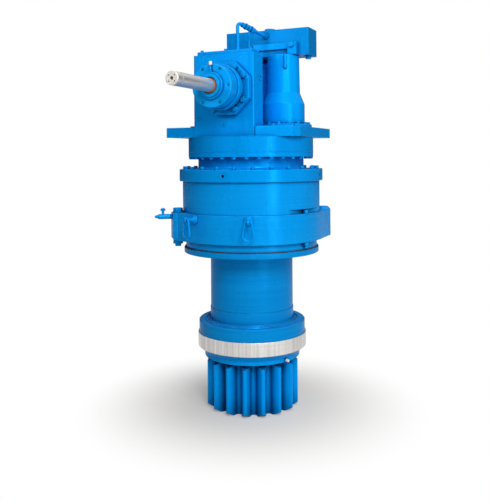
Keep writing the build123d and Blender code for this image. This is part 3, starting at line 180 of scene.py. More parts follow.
# Bright stretches round the walls that reflections show, broad and fine
BROAD_STRETCHES, FINE_STRETCHES = 5, 13

# Floor in metres, and how far from the axis its shadow starts and ends to fade
FLOOR_SIZE = 24
FLOOR_GAP = 0.0006
SHADOW_NEAR, SHADOW_FAR = 0.20, 0.75


class EnamelSettings(bpy.types.PropertyGroup):
    """Colours and feel of the enamel, and the colours of its painted highlights, light and shade.
    """

    colour: bpy.props.FloatVectorProperty(
        name="Enamel", description="Colour of the enamel in plain light", subtype="COLOR",
        size=3, min=0, max=1, default=(0.0, 0.290, 0.800),
    )
    # Light cyan of the painted highlights on edges and along the lathe's lines
    highlight_colour: bpy.props.FloatVectorProperty(
        name="Painted highlight", description="Colour of the painted highlights on edges and along lathe lines",
        subtype="COLOR", size=3, min=0, max=1, default=(0.02, 0.500, 0.970),
    )
    # Deep blue of the painted shade in gaps and corners, and of the grime runs down the sides
    shade_and_grime_colour: bpy.props.FloatVectorProperty(
        name="Painted shade and grime", description="Colour of the enamel in gaps and corners",
        subtype="COLOR", size=3, min=0, max=1, default=(0.0, 0.022, 0.110),
    )
    # Lighter blue on upward faces: dust, and painted light from above
    dust_and_top_light_colour: bpy.props.FloatVectorProperty(
        name="Dust", description="Colour of the dust on upward faces", subtype="COLOR",
        size=3, min=0, max=1, default=(0.030, 0.380, 0.820),
    )
    roughness: bpy.props.FloatProperty(
        name="Roughness", description="Roughness of the enamel", min=0, max=1, default=0.27,
    )
    shine: bpy.props.FloatProperty(
        name="Shine", description="Strength of the enamel's clear reflection",
        min=0, max=1, default=0.05,
    )
    tinted_shine: bpy.props.FloatProperty(
        name="Tinted shine", description="Share of the reflection in the enamel's own colour",
        min=0, max=1, default=0.18,
    )
    shine_colour: bpy.props.FloatVectorProperty(
        name="Shine colour", description="Tint of the enamel's reflection", subtype="COLOR",
        size=3, min=0, max=1, default=(0.35, 0.75, 1.0),
    )
    edge_width: bpy.props.FloatProperty(
        name="Edge width", description="Width of the soft edge that catches the light",
        unit="LENGTH", min=0, default=0.0026,
    )
    # Reach of the painted shade along a joint
    crease_shade_width: bpy.props.FloatProperty(
        name="Crease width", description="Width of the dark line along a joint",
        unit="LENGTH", min=0, default=0.009,
    )


class SteelSettings(bpy.types.PropertyGroup):
    """Colours of the bare metals."""

    band_colour: bpy.props.FloatVectorProperty(
        name="Band", description="Colour of the machined band", subtype="COLOR",
        size=3, min=0, max=1, default=(0.900, 0.885, 0.875),
    )
    shaft_colour: bpy.props.FloatVectorProperty(
        name="Shaft", description="Colour of the bare input shaft", subtype="COLOR",
        size=3, min=0, max=1, default=(0.820, 0.790, 0.735),
    )
    gear_colour: bpy.props.FloatVectorProperty(
        name="Gears", description="Colour of the hardened gears", subtype="COLOR",
        size=3, min=0, max=1, default=(0.420, 0.420, 0.430),
    )
    bearing_colour: bpy.props.FloatVectorProperty(
        name="Bearings", description="Colour of the bearings", subtype="COLOR",
        size=3, min=0, max=1, default=(0.62, 0.62, 0.64),
    )
    rust_colour: bpy.props.FloatVectorProperty(
        name="Rust", description="Colour of the light rust", subtype="COLOR",
        size=3, min=0, max=1, default=(0.420, 0.150, 0.040),
    )
    rust_reach: bpy.props.FloatProperty(
        name="Rust reach", description="Length of the rusted stretch at the shaft's root",
        unit="LENGTH", min=0, default=0.008,
    )


class DetailSettings(bpy.types.PropertyGroup):
    """Sizes of the small details."""

    seam_bead: bpy.props.FloatProperty(
        name="Seam bead", description="Radius of the sealant bead in a joint",
        unit="LENGTH", min=0.0002, default=0.0016,
    )
    foot_bead: bpy.props.FloatProperty(
        name="Foot bead", description="Radius of the ring of paint round the foot of the neck",
        unit="LENGTH", min=0.01, default=0.192,
    )
    rubber_lip: bpy.props.FloatProperty(
        name="Rubber lip", description="Radius of the rubber lip's section at the lower flange",
        unit="LENGTH", min=0.0005, default=0.0026,
    )
    packing_width: bpy.props.FloatProperty(
        name="Packing width", description="Width of the packing below the oil tank",
        unit="LENGTH", min=0.001, default=0.074,
    )
    packing_depth: bpy.props.FloatProperty(
        name="Packing depth", description="Depth of the packing below the oil tank",
        unit="LENGTH", min=0.001, default=0.0115,
    )
    weld_bead: bpy.props.FloatProperty(
        name="Weld bead", description="Radius of one ripple of a weld",
        unit="LENGTH", min=0.0005, default=0.0032,
    )
    link_weld: bpy.props.FloatProperty(
        name="Link weld", description="Length of the weld that closes a lifting link",
        unit="LENGTH", min=0.001, default=0.011,
    )
    nipple_cap: bpy.props.FloatProperty(
        name="Nipple cap", description="Radius of the plastic cap on a grease nipple",
        unit="LENGTH", min=0.001, default=0.0062,
    )
    lower_cap_reach: bpy.props.FloatProperty(
        name="Lower cap reach", description="Distance of the lower nipple's cap from the axis",
        unit="LENGTH", min=0.01, default=0.2085,
    )
    rust_ring: bpy.props.FloatProperty(
        name="Rust ring", description="Radius of the ring of rust round the input shaft",
        unit="LENGTH", min=0.01, default=0.0262,
    )
    rust_bead: bpy.props.FloatProperty(
        name="Rust bead", description="Radius of the rust ring's section",
        unit="LENGTH", min=0.0005, default=0.0022,
    )


class StudioSettings(bpy.types.PropertyGroup):
    """Camera, light and floor."""

    camera_place: bpy.props.FloatVectorProperty(
        name="Camera", description="Place of the camera", subtype="TRANSLATION",
        unit="LENGTH", size=3, default=(1.176, -2.604, 1.0275),
    )
    lens: bpy.props.FloatProperty(
        name="Lens", description="Focal length in millimetres", min=1, default=49.05,
    )
    shift: bpy.props.FloatVectorProperty(
        name="Shift", description="Shift of the lens", size=2, default=(-0.0119, -0.1864),
    )
    roll: bpy.props.FloatProperty(
        name="Roll", description="Roll of the camera", subtype="ANGLE", default=math.radians(0.4),
    )
    key_power: bpy.props.FloatProperty(
        name="Key light", description="Power of the main soft box in watts", min=0, default=86,
    )
    fill_power: bpy.props.FloatProperty(
        name="Fill light", description="Power of the narrow soft box at the right in watts",
        min=0, default=26,
    )
    top_power: bpy.props.FloatProperty(
        name="Top light", description="Power of the overhead soft box in watts", min=0, default=18,
    )
    box_power: bpy.props.FloatProperty(
        name="Box light", description="Power of the small lamp on the input box in watts", min=0,
        default=0.45,
    )
    air_light: bpy.props.FloatProperty(
        name="Room light", description="Strength of the light from all round", min=0, default=0.26,
    )
    floor_colour: bpy.props.FloatVectorProperty(
        name="Floor", description="Colour of the floor in the object's shadow", subtype="COLOR",
        size=3, min=0, max=1, default=(0.80, 0.765, 0.71),
    )


# Node helpers


def new_node(tree, kind, **values):
    made = tree.nodes.new(kind)
    for name, value in values.items():
        setattr(made, name, value)
    return made


def math_node(tree, operation, first, second=None, clamp=False):
    """Math node whose inputs are sockets or numbers. Returns its output."""
    made = new_node(tree, "ShaderNodeMath", operation=operation, use_clamp=clamp)
    for index, value in enumerate((first, second)):
        if value is None:
            continue
        if isinstance(value, (int, float)):
            made.inputs[index].default_value = value
        else:
            tree.links.new(value, made.inputs[index])
    return made.outputs[0]


def times(tree, first, second, clamp=False):
    return math_node(tree, "MULTIPLY", first, second, clamp)


def plus(tree, first, second, clamp=False):
    return math_node(tree, "ADD", first, second, clamp)


def mix_colour(tree, factor, first, second):
    """Colour mix whose inputs are sockets or values. Returns its output."""
    made = new_node(tree, "ShaderNodeMix", data_type="RGBA")
    for index, value in ((0, factor), (6, first), (7, second)):
        if isinstance(value, bpy.types.NodeSocket):
            tree.links.new(value, made.inputs[index])
        else:
            made.inputs[index].default_value = (*value[:3], 1)
    return made.outputs[2]


def noise_node(tree, vector, scale, detail=3.0, roughness=0.5):
    """Noise of one scale all round, or of a scale along each axis. Returns its value."""
    if isinstance(scale, tuple):
        stretch = new_node(tree, "ShaderNodeVectorMath", operation="MULTIPLY")
        tree.links.new(vector, stretch.inputs[0])
        stretch.inputs[1].default_value = scale
        vector, scale = stretch.outputs[0], 1.0
    made = new_node(tree, "ShaderNodeTexNoise")
    made.inputs["Scale"].default_value = scale
    made.inputs["Detail"].default_value = detail
    made.inputs["Roughness"].default_value = roughness
    tree.links.new(vector, made.inputs["Vector"])
    return made.outputs["Fac"]


def remapped(tree, value, low, high, new_low=0.0, new_high=1.0):
    """Value brought smoothly from one range to another, and held within it."""
    made = new_node(tree, "ShaderNodeMapRange", clamp=True, interpolation_type="SMOOTHSTEP")
    tree.links.new(value, made.inputs["Value"])
    made.inputs["From Min"].default_value = low
    made.inputs["From Max"].default_value = high
    made.inputs["To Min"].default_value = new_low
    made.inputs["To Max"].default_value = new_high
    return made.outputs["Result"]


def split_axes(tree, vector):
    made = new_node(tree, "ShaderNodeSeparateXYZ")
    tree.links.new(vector, made.inputs[0])
    return made.outputs


def along(tree, vector, direction):
    """How far a vector points in a fixed direction."""
    made = new_node(tree, "ShaderNodeVectorMath", operation="DOT_PRODUCT")
    tree.links.new(vector, made.inputs[0])
    made.inputs[1].default_value = direction
    return made.outputs["Value"]


def mix_shaders(tree, factor, first, second):
    made = new_node(tree, "ShaderNodeMixShader")
    for index, socket in enumerate((factor, first, second)):
        tree.links.new(socket, made.inputs[index])
    return made.outputs[0]


def new_group(name, inputs, outputs):
    """Empty shader group with named sockets. Returns its tree, its inputs and its outputs."""
    tree = bpy.data.node_groups.new(name, "ShaderNodeTree")
    tree.interface.new_socket("Vector", in_out="INPUT", socket_type="NodeSocketVector")
    for label, value in inputs:
        socket = tree.interface.new_socket(label, in_out="INPUT", socket_type="NodeSocketFloat")
        socket.default_value = value
    for label in outputs:
        tree.interface.new_socket(label, in_out="OUTPUT", socket_type="NodeSocketFloat")
    entry = tree.nodes.new("NodeGroupInput")
    leave = tree.nodes.new("NodeGroupOutput")
    return tree, entry.outputs, leave.inputs


def place_group(tree, name, vector, **values):
    """Instance of a group in a material, with its own values. Returns its outputs."""
    made = new_node(tree, "ShaderNodeGroup", node_tree=bpy.data.node_groups[name])
    tree.links.new(vector, made.inputs["Vector"])
    for label, value in values.items():
        made.inputs[label].default_value = value
    return made.outputs


# Shared effects


def make_turning_group():
    """Fine lines that a lathe leaves round the Z axis of its vector."""
    tree, ins, outs = new_group("Turning lines", (("Depth", 1.0),), ("Height", "Streak"))
    fine = noise_node(tree, ins["Vector"], scale=(2, 2, 900), detail=2.0)
    broad = noise_node(tree, ins["Vector"], scale=(3, 3, 160), detail=2.0)
    lines = plus(tree, fine, times(tree, broad, 0.6))
    tree.links.new(times(tree, lines, ins["Depth"]), outs["Height"])
    tree.links.new(remapped(tree, lines, low=0.55, high=1.05), outs["Streak"])


def make_skin_group():
    """Orange peel of a sprayed coat, and the lumps and pits of a casting below it."""
    tree, ins, outs = new_group(
        "Sprayed skin", (("Peel", 0.4), ("Lumps", 0.0)), ("Height", "Tone"),
    )
    peel = noise_node(tree, ins["Vector"], scale=520, detail=2.0)
    lumps = noise_node(tree, ins["Vector"], scale=95, detail=4.0, roughness=0.6)
    pits = noise_node(tree, ins["Vector"], scale=210, detail=2.0)
    pits = remapped(tree, pits, low=0.60, high=0.72, new_low=0.0, new_high=-0.5)
    cast = plus(tree, times(tree, lumps, 3.0), pits)
    height = plus(tree, times(tree, peel, ins["Peel"]), times(tree, cast, ins["Lumps"]))
    tree.links.new(height, outs["Height"])
    tone_and_painted_light = noise_node(tree, ins["Vector"], scale=(7, 7, 4), detail=5.0, roughness=0.6)
    tree.links.new(remapped(tree, tone_and_painted_light, low=0.30, high=0.70), outs["Tone"])


def make_dust_group():
    """Dust that settles on upward faces, with painted light from above on them, and runs of grime
    down the sides.
    """
    tree, ins, outs = new_group("Dust and runs", (("Dust", 0.5), ("Runs", 0.3)), ("Dust", "Runs"))
    geometry = new_node(tree, "ShaderNodeNewGeometry")
    height = split_axes(tree, geometry.outputs["True Normal"])["Z"]
    upward = remapped(tree, height, low=0.55, high=0.95)
    grain = noise_node(tree, ins["Vector"], scale=38, detail=5.0, roughness=0.65)
    grain = remapped(tree, grain, low=0.35, high=0.70, new_low=0.35)
    dust_and_top_light = times(tree, upward, grain)
    tree.links.new(times(tree, dust_and_top_light, ins["Dust"], clamp=True), outs["Dust"])
    runs = noise_node(tree, ins["Vector"], scale=(62, 62, 5), detail=4.0, roughness=0.6)
    runs = remapped(tree, runs, low=0.56, high=0.76)
    tree.links.new(times(tree, runs, ins["Runs"], clamp=True), outs["Runs"])


def make_edge_highlight_group():
    """Painted highlight along edges, uneven along their run."""
    tree, ins, outs = new_group("Worn edges", (("Width", 0.0015), ("Amount", 0.5)), ("Edge",))
    soft = new_node(tree, "ShaderNodeBevel", samples=4)
    tree.links.new(ins["Width"], soft.inputs["Radius"])
    geometry = new_node(tree, "ShaderNodeNewGeometry")
    turn = new_node(tree, "ShaderNodeVectorMath", operation="DOT_PRODUCT")
    tree.links.new(soft.outputs[0], turn.inputs[0])
    tree.links.new(geometry.outputs["True Normal"], turn.inputs[1])
    edge_highlight = remapped(tree, turn.outputs["Value"], low=0.97, high=0.80)
    uneven = noise_node(tree, ins["Vector"], scale=70, detail=5.0, roughness=0.7)
    uneven = remapped(tree, uneven, low=0.30, high=0.62, new_low=0.25)
    edge_highlight = times(tree, edge_highlight, uneven)
    tree.links.new(times(tree, edge_highlight, ins["Amount"], clamp=True), outs["Edge"])


# Materials


def new_material(name):
    """Material with a Principled shader. Returns it, its tree, shader and Object coordinates."""
    made = bpy.data.materials.new(name)
    made.use_nodes = True
    tree = made.node_tree
    shader = tree.nodes["Principled BSDF"]
    places = new_node(tree, "ShaderNodeTexCoord")
    return made, tree, shader, places.outputs["Object"]


def turned_about_input(tree, vector):
    """Vector whose Z runs along the input shaft."""
    made = new_node(tree, "ShaderNodeMapping", vector_type="POINT")
    tree.links.new(vector, made.inputs["Vector"])
    made.inputs["Location"].default_value = (0, -INPUT_HEIGHT, 0)
    made.inputs["Rotation"].default_value = (math.radians(-90), 0, 0)
    return made.outputs[0]


def set_colour(tree, shader, mask, first, second):
    """Base colour that goes from one to the other by a mask."""
    tree.links.new(mix_colour(tree, mask, first, second), shader.inputs["Base Color"])


def set_roughness(tree, shader, mask, least, added):
    """Roughness that grows from the least by a mask."""
    tree.links.new(plus(tree, times(tree, mask, added), least), shader.inputs["Roughness"])


def add_bump(tree, shader, height, distance, edge_width=None):
    bump = new_node(tree, "ShaderNodeBump")
    bump.inputs["Strength"].default_value = 1.0
    bump.inputs["Distance"].default_value = distance
    tree.links.new(height, bump.inputs["Height"])
    if edge_width:
        soft = new_node(tree, "ShaderNodeBevel", samples=4)
        soft.inputs["Radius"].default_value = edge_width
        tree.links.new(soft.outputs[0], bump.inputs["Normal"])
    tree.links.new(bump.outputs[0], shader.inputs["Normal"])


def painted_shade_mask(tree, reach, low, high):
    """Mask of painted shade, at the places that have something else within reach."""
    made = new_node(tree, "ShaderNodeAmbientOcclusion", samples=6)
    made.inputs["Distance"].default_value = reach
    return remapped(tree, made.outputs["AO"], low, high, new_low=1.0, new_high=0.0)


def enamel_material(name, settings, lines=0.0, lumps=0.0, peel=0.4, dust_and_top_light=0.5, runs=0.1,
                    edge_highlight=0.55, about_input=False, gap_shade_reach=0.035, tone_and_painted_light=1.0):
    """Blue enamel over a casting, a turned part, a plate or a fastener."""
    made, tree, shader, vector = new_material(name)
    skin = place_group(tree, "Sprayed skin", vector, Peel=peel, Lumps=lumps)
    turned = turned_about_input(tree, vector) if about_input else vector
    lathe = place_group(tree, "Turning lines", turned, Depth=lines)
    dust_light_and_runs = place_group(tree, "Dust and runs", vector, Dust=dust_and_top_light, Runs=runs)
    edge_highlights = place_group(tree, "Worn edges", vector, Width=settings.edge_width, Amount=edge_highlight)
    # Painted shade in gaps and along joints, where other parts come near
    gap_shade = painted_shade_mask(tree, gap_shade_reach, low=0.08, high=0.85)
    crease_shade = painted_shade_mask(tree, settings.crease_shade_width, low=0.20, high=0.94)
    depth = math_node(tree, "MAXIMUM", gap_shade, crease_shade)

    # The whole part painted lighter or darker by its tone, as painted light and shade
    full = [c * tone_and_painted_light for c in settings.colour]
    patches = [c * PATCH_TONE for c in full]
    colour = mix_colour(tree, skin["Tone"], patches, full)
    if lines:
        # Painted sheen along the lathe's lines, in the highlight colour
        lathe_sheen = times(tree, lathe["Streak"], LATHE_SHINE)
        colour = mix_colour(tree, lathe_sheen, colour, settings.highlight_colour)
    colour = mix_colour(tree, dust_light_and_runs["Runs"], colour, settings.shade_and_grime_colour)
    # Upward faces lighter: dust, and painted light from above
    colour = mix_colour(tree, dust_light_and_runs["Dust"], colour, settings.dust_and_top_light_colour)
    # Painted highlight where the edges catch the light
    colour = mix_colour(tree, edge_highlights["Edge"], colour, settings.highlight_colour)
    # The painted shade in gaps and creases darkens the colour to the deep blue
    set_colour(tree, shader, depth, colour, settings.shade_and_grime_colour)

    smoothest = settings.roughness - PATCH_ROUGHNESS / 2
    rough = plus(tree, times(tree, skin["Tone"], PATCH_ROUGHNESS), smoothest)
    rough = plus(tree, rough, times(tree, dust_light_and_runs["Dust"], DUST_ROUGHNESS), clamp=True)
    tree.links.new(rough, shader.inputs["Roughness"])
    shader.inputs["Metallic"].default_value = settings.tinted_shine
    shader.inputs["Specular IOR Level"].default_value = settings.shine
    shader.inputs["Specular Tint"].default_value = (*settings.shine_colour, 1)
    height = plus(tree, skin["Height"], lathe["Height"])
    add_bump(tree, shader, height, ENAMEL_RELIEF, settings.edge_width)
    return made


def steel_material(name, colour, roughness, lines, streak, about_input=False, bands=0.0):
    """Bare machined steel with its tool marks, and with darker upright bands of painted reflection
    if asked for.
    """
    made, tree, shader, vector = new_material(name)
    turned = turned_about_input(tree, vector) if about_input else vector
    lathe = place_group(tree, "Turning lines", turned, Depth=lines)
    smear = noise_node(tree, vector, scale=(26, 26, 9), detail=4.0, roughness=0.6)
    smear = remapped(tree, smear, low=0.30, high=0.72)
    shade = [c * (1 - streak) for c in colour]
    tint = mix_colour(tree, lathe["Streak"], shade, colour)
    tint = mix_colour(tree, times(tree, smear, streak), tint, shade)
    if bands:
        # Darker upright bands: painted reflection of the room on the turned steel
        painted_reflection = noise_node(tree, vector, scale=(75, 75, 1.5), detail=4.0, roughness=0.7)
        painted_reflection = times(tree, remapped(tree, painted_reflection, low=0.36, high=0.66), bands)
        tint = mix_colour(tree, painted_reflection, tint, [c * REFLECTION_BAND_SHADE for c in colour])
    tree.links.new(tint, shader.inputs["Base Color"])

    smeared = times(tree, smear, SMEAR_ROUGHNESS)
    rough = plus(tree, smeared, times(tree, lathe["Streak"], LATHE_ROUGHNESS))
    tree.links.new(plus(tree, rough, roughness, clamp=True), shader.inputs["Roughness"])
    shader.inputs["Metallic"].default_value = 1.0
    add_bump(tree, shader, lathe["Height"], STEEL_RELIEF, STEEL_EDGE)
    return made


def shaft_material(settings):
    """Ground shaft with a film of rust at its root and specks of it elsewhere."""
    made = steel_material("Ground shaft", settings.shaft_colour, roughness=0.30, lines=0.6,
                          streak=0.30, about_input=True)
    tree = made.node_tree
    shader = tree.nodes["Principled BSDF"]
    places = new_node(tree, "ShaderNodeTexCoord").outputs["Object"]
    root = CAP_LOW.y
    near = remapped(tree, split_axes(tree, places)["Y"], root - settings.rust_reach, root - 0.002)
    spread = noise_node(tree, places, scale=130, detail=6.0, roughness=0.7)
    spread = remapped(tree, spread, low=0.30, high=0.55, new_low=0.35)
    specks = noise_node(tree, places, scale=340, detail=4.0)
    specks = times(tree, remapped(tree, specks, low=0.66, high=0.74), 0.35)
    film = plus(tree, times(tree, near, spread), specks, clamp=True)

    steel = shader.inputs["Base Color"].links[0].from_socket
    set_colour(tree, shader, film, steel, settings.rust_colour)
    bare = math_node(tree, "SUBTRACT", 0.84, times(tree, film, 0.75), clamp=True)
    tree.links.new(bare, shader.inputs["Metallic"])
    smooth = shader.inputs["Roughness"].links[0].from_socket
    rough = plus(tree, smooth, times(tree, film, 0.5), clamp=True)
    tree.links.new(rough, shader.inputs["Roughness"])
    return made


def rust_material(settings):
    """Rust and old grease that gather in a corner."""
    made, tree, shader, vector = new_material("Rust and grease")
    blotch = noise_node(tree, vector, scale=150, detail=6.0, roughness=0.7)
    blotch = remapped(tree, blotch, low=0.32, high=0.66)
    dark = [c * 0.35 for c in settings.rust_colour]
    set_colour(tree, shader, blotch, dark, settings.rust_colour)
    set_roughness(tree, shader, blotch, least=0.5, added=0.3)
    grit = noise_node(tree, vector, scale=420, detail=5.0, roughness=0.7)
    add_bump(tree, shader, grit, 0.0006)
    return made


def rubber_material():
    """Matt black rubber with a bloom."""
    made, tree, shader, vector = new_material("Seal rubber")
    bloom = noise_node(tree, vector, scale=60, detail=5.0, roughness=0.65)
    bloom = remapped(tree, bloom, low=0.40, high=0.72)
    set_colour(tree, shader, bloom, (0.020, 0.020, 0.022), (0.060, 0.060, 0.064))
    set_roughness(tree, shader, bloom, least=0.6, added=0.2)
    add_bump(tree, shader, noise_node(tree, vector, scale=900), 0.0001)
    return made


def lining_material():
    """Sintered friction lining."""
    made, tree, shader, vector = new_material("Brake lining")
    cells = new_node(tree, "ShaderNodeTexVoronoi", feature="F1")
    cells.inputs["Scale"].default_value = 700
    tree.links.new(vector, cells.inputs["Vector"])
    grain = remapped(tree, cells.outputs["Distance"], low=0.05, high=0.60)
    set_colour(tree, shader, grain, (0.30, 0.24, 0.17), (0.10, 0.085, 0.075))
    set_roughness(tree, shader, grain, least=0.65, added=0.2)
    shader.inputs["Metallic"].default_value = 0.2
    add_bump(tree, shader, cells.outputs["Distance"], 0.0002)
    return made


def plastic_material():
    """Pale moulded plastic that has yellowed a little."""
    made, tree, shader, vector = new_material("Pale cap")
    age = remapped(tree, noise_node(tree, vector, scale=110, detail=4.0), low=0.35, high=0.70)
    set_colour(tree, shader, age, (0.92, 0.84, 0.80), (0.80, 0.62, 0.54))
    set_roughness(tree, shader, age, least=0.35, added=0.2)
    add_bump(tree, shader, noise_node(tree, vector, scale=800, detail=2.0), 0.0001)
    return made


def put_on(names, material):
    """Give CAD nodes one material."""
    for name in names:
        slots = NODES[name].data.materials
        if not slots:
            slots.append(material)
        for index in range(len(slots)):
            slots[index] = material


# Mesh helpers


def deselect_all():
    bpy.ops.object.select_all(action="DESELECT")


def select_only(*objects):
    deselect_all()
    for item in objects:
        item.select_set(True)
    bpy.context.view_layer.objects.active = objects[0]


def joined(objects):
    """One object from several, with its place in its mesh."""
    select_only(*objects)
    bpy.ops.object.join()
    made = bpy.context.view_layer.objects.active
    bpy.ops.object.transform_apply(location=True, rotation=True, scale=True)
    return made


def hand_over(made, name, body, material):
    """Name a finished piece, smooth it, colour it and let it ride on its body."""
    select_only(made)
    bpy.ops.object.transform_apply(location=True, rotation=True, scale=True)
    bpy.ops.object.shade_smooth_by_angle(angle=math.radians(40))
    made.name = name
    made.data.name = name
    made.data.materials.clear()
    made.data.materials.append(material)
    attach(made, body)


def torus(major, minor, place, turn, steps):
    deselect_all()
    bpy.ops.mesh.primitive_torus_add(
        major_radius=major, minor_radius=minor, major_segments=steps,
        minor_segments=SECTION_STEPS, location=place, rotation=turn,
    )
    return bpy.context.active_object


def roughened(made, offset, seed, repeat):
    """Push a new piece's points in and out a little, and smooth them."""
    bpy.ops.object.mode_set(mode="EDIT")
    bpy.ops.mesh.select_all(action="SELECT")
    bpy.ops.transform.vertex_random(offset=offset, normal=1.0, seed=seed)
    bpy.ops.mesh.vertices_smooth(factor=0.5, repeat=repeat)
    bpy.ops.object.mode_set(mode="OBJECT")
    return made


def laid_bead(major, minor, place, seed, turn=(0, 0, 0), unevenness=0.14):
    """Ring of sealant, rubber, paint or rust round an axis, a little uneven along its run."""
    made = torus(major, minor, place, turn, BEAD_STEPS)
    return roughened(made, minor * unevenness, seed, repeat=2)


def apply_modifier(made, kind, name, **values):
    select_only(made)
    modifier = made.modifiers.new(name, kind)
    for label, value in values.items():
        setattr(modifier, label, value)
    bpy.ops.object.modifier_apply(modifier=modifier.name)


# Operators


class REDUCER_OT_shared_effects(bpy.types.Operator):
    """Build the node groups that several finishes share"""

    bl_idname = "reducer.shared_effects"
    bl_label = "Shared effects"

    def execute(self, context):
        make_turning_group()
        make_skin_group()
        make_dust_group()
        make_edge_highlight_group()
        return {"FINISHED"}


class REDUCER_OT_enamelled_parts(bpy.types.Operator):
    """Put the blue enamel on castings, turned parts, plates, fasteners and the pinion"""

    bl_idname = "reducer.enamelled_parts"
    bl_label = "Enamelled parts"

    def execute(self, context):
        look = context.scene.reducer_enamel
        for name, nodes, values in ENAMELS:
            put_on(nodes, enamel_material(name, look, **values))
        return {"FINISHED"}


class REDUCER_OT_bare_steel(bpy.types.Operator):
    """Give the machined band and the input shaft their bare metal"""

    bl_idname = "reducer.bare_steel"
    bl_label = "Band and shaft"

    def execute(self, context):
        look = context.scene.reducer_steel
        # The band gets upright bands of painted reflection
        band = steel_material("Machined band", look.band_colour, roughness=0.22, lines=0.5,
                              streak=0.10, bands=0.5)
        put_on(("pilot_ring",), band)
        put_on(("input_shaft",), shaft_material(look))
        return {"FINISHED"}


class REDUCER_OT_inner_parts(bpy.types.Operator):
    """Finish the gears, bearings, seals and brake plates inside"""

    bl_idname = "reducer.inner_parts"
    bl_label = "Inner parts"

    def execute(self, context):
        look = context.scene.reducer_steel
        gear = steel_material("Hardened gear steel", look.gear_colour, roughness=0.30, lines=0.5,
                              streak=0.35)
        put_on(GEARS, gear)
        bearing = steel_material("Bearing steel", look.bearing_colour, roughness=0.12, lines=0.2,
                                 streak=0.15)
        put_on(BEARINGS, bearing)
        put_on(SEALS, rubber_material())
        put_on(LININGS, lining_material())
        return {"FINISHED"}


class REDUCER_OT_seam_beads(bpy.types.Operator):
    """Lay the painted beads into the joints of the round housings and round the neck's foot"""

    bl_idname = "reducer.seam_beads"
    bl_label = "Seam beads"

    def execute(self, context):
        detail = context.scene.reducer_detail
        look = context.scene.reducer_enamel
        paint = enamel_material("Seam enamel", look, peel=0.8, lumps=0.3)
        seams = (
            (HOUSING_HIGH.x, HOUSING_LOW.z),
            (HOUSING_HIGH.x, HOUSING_HIGH.z),
            (CASE_HIGH.x, CASE_LOW.z),
            (CASE_HIGH.x, CASE_HIGH.z),
        )
        rings = [
            laid_bead(radius, detail.seam_bead, (0, 0, height), seed)
            for seed, (radius, height) in enumerate(seams)
        ]
        hand_over(joined(rings), "seam_beads", "root", paint)
        rings = [
            laid_bead(detail.foot_bead - step, thickness, (0, 0, FOOT_TOP), seed)
            for step, thickness, seed in FOOT_BEADS
        ]
        hand_over(joined(rings), "foot_beads", "root", paint)
        return {"FINISHED"}


class REDUCER_OT_flange_lip(bpy.types.Operator):
    """Press the black rubber lip out of the joint above the flange of the output housing"""

    bl_idname = "reducer.flange_lip"
    bl_label = "Flange lip"

    def execute(self, context):
        thickness = context.scene.reducer_detail.rubber_lip
        sink, rise = 0.001, thickness * 0.4
        height = (SEAL_LOW.z + SEAL_HIGH.z) / 2 + rise
        lip = laid_bead(SEAL_HIGH.x - sink, thickness, (0, 0, height), seed=21)
        hand_over(lip, "flange_lip", "root", rubber_material())
        return {"FINISHED"}


class REDUCER_OT_tank_packing(bpy.types.Operator):
    """Pack the gap between the rear wall of the input box and the bottom of the oil tank"""

    bl_idname = "reducer.tank_packing"
    bl_label = "Tank packing"

    def execute(self, context):
        detail = context.scene.reducer_detail
        off_centre = -0.007
        deselect_all()
        bpy.ops.mesh.primitive_cube_add(size=1, location=(
            off_centre, BOX_HIGH.y - detail.packing_depth / 2, (BOX_HIGH.z + TANK_LOW.z) / 2,
        ))
        made = bpy.context.active_object
        made.scale = (detail.packing_width, detail.packing_depth, TANK_LOW.z - BOX_HIGH.z)
        bpy.ops.object.transform_apply(location=True, rotation=True, scale=True)
        apply_modifier(made, "BEVEL", "Edges", width=0.002, segments=3)
        look = context.scene.reducer_enamel
        paint = enamel_material("Packing enamel", look, peel=0.5, lumps=0.3)
        hand_over(made, "tank_packing", "root", paint)
        return {"FINISHED"}


class REDUCER_OT_tank_welds(bpy.types.Operator):
    """Run the rippled welds along the front and the left of the oil tank's foot"""

    bl_idname = "reducer.tank_welds"
    bl_label = "Tank welds"

    def run_of_ripples(self, start, end, radius):
        """Row of overlapping flattened ripples from one point to another."""
        start, end = Vector(start), Vector(end)
        deselect_all()
        bpy.ops.mesh.primitive_uv_sphere_add(segments=10, ring_count=6, radius=radius)
        ripple = bpy.context.active_object
        ripple.scale = (0.9, 0.75, 1.0)
        bpy.ops.object.transform_apply(location=True, rotation=True, scale=True)
        pitch = radius * 1.1
        apply_modifier(
            ripple, "ARRAY", "Ripples", count=int((end - start).length / pitch) + 1,
            use_relative_offset=False, use_constant_offset=True,
            constant_offset_displace=(pitch, 0, 0),
        )
        ripple.rotation_euler = (0, 0, math.atan2(end.y - start.y, end.x - start.x))
        ripple.location = start
        return ripple

    def execute(self, context):
        radius = context.scene.reducer_detail.weld_bead
        look = context.scene.reducer_enamel
        paint = enamel_material("Weld enamel", look, peel=0.6, lumps=0.5, runs=0.2)
        left, front, back = TANK_LOW.x, TANK_LOW.y, TANK_HIGH.y
        height = TANK_LOW.z + radius * 0.5
        front_run = self.run_of_ripples(
            (left + radius, front, height), (LID_HIGH.x - radius, front, height), radius,
        )
        left_run = self.run_of_ripples(
            (left, front + radius, height), (left, back - radius, height), radius,
        )
        hand_over(joined([front_run, left_run]), "tank_welds", "root", paint)
        return {"FINISHED"}


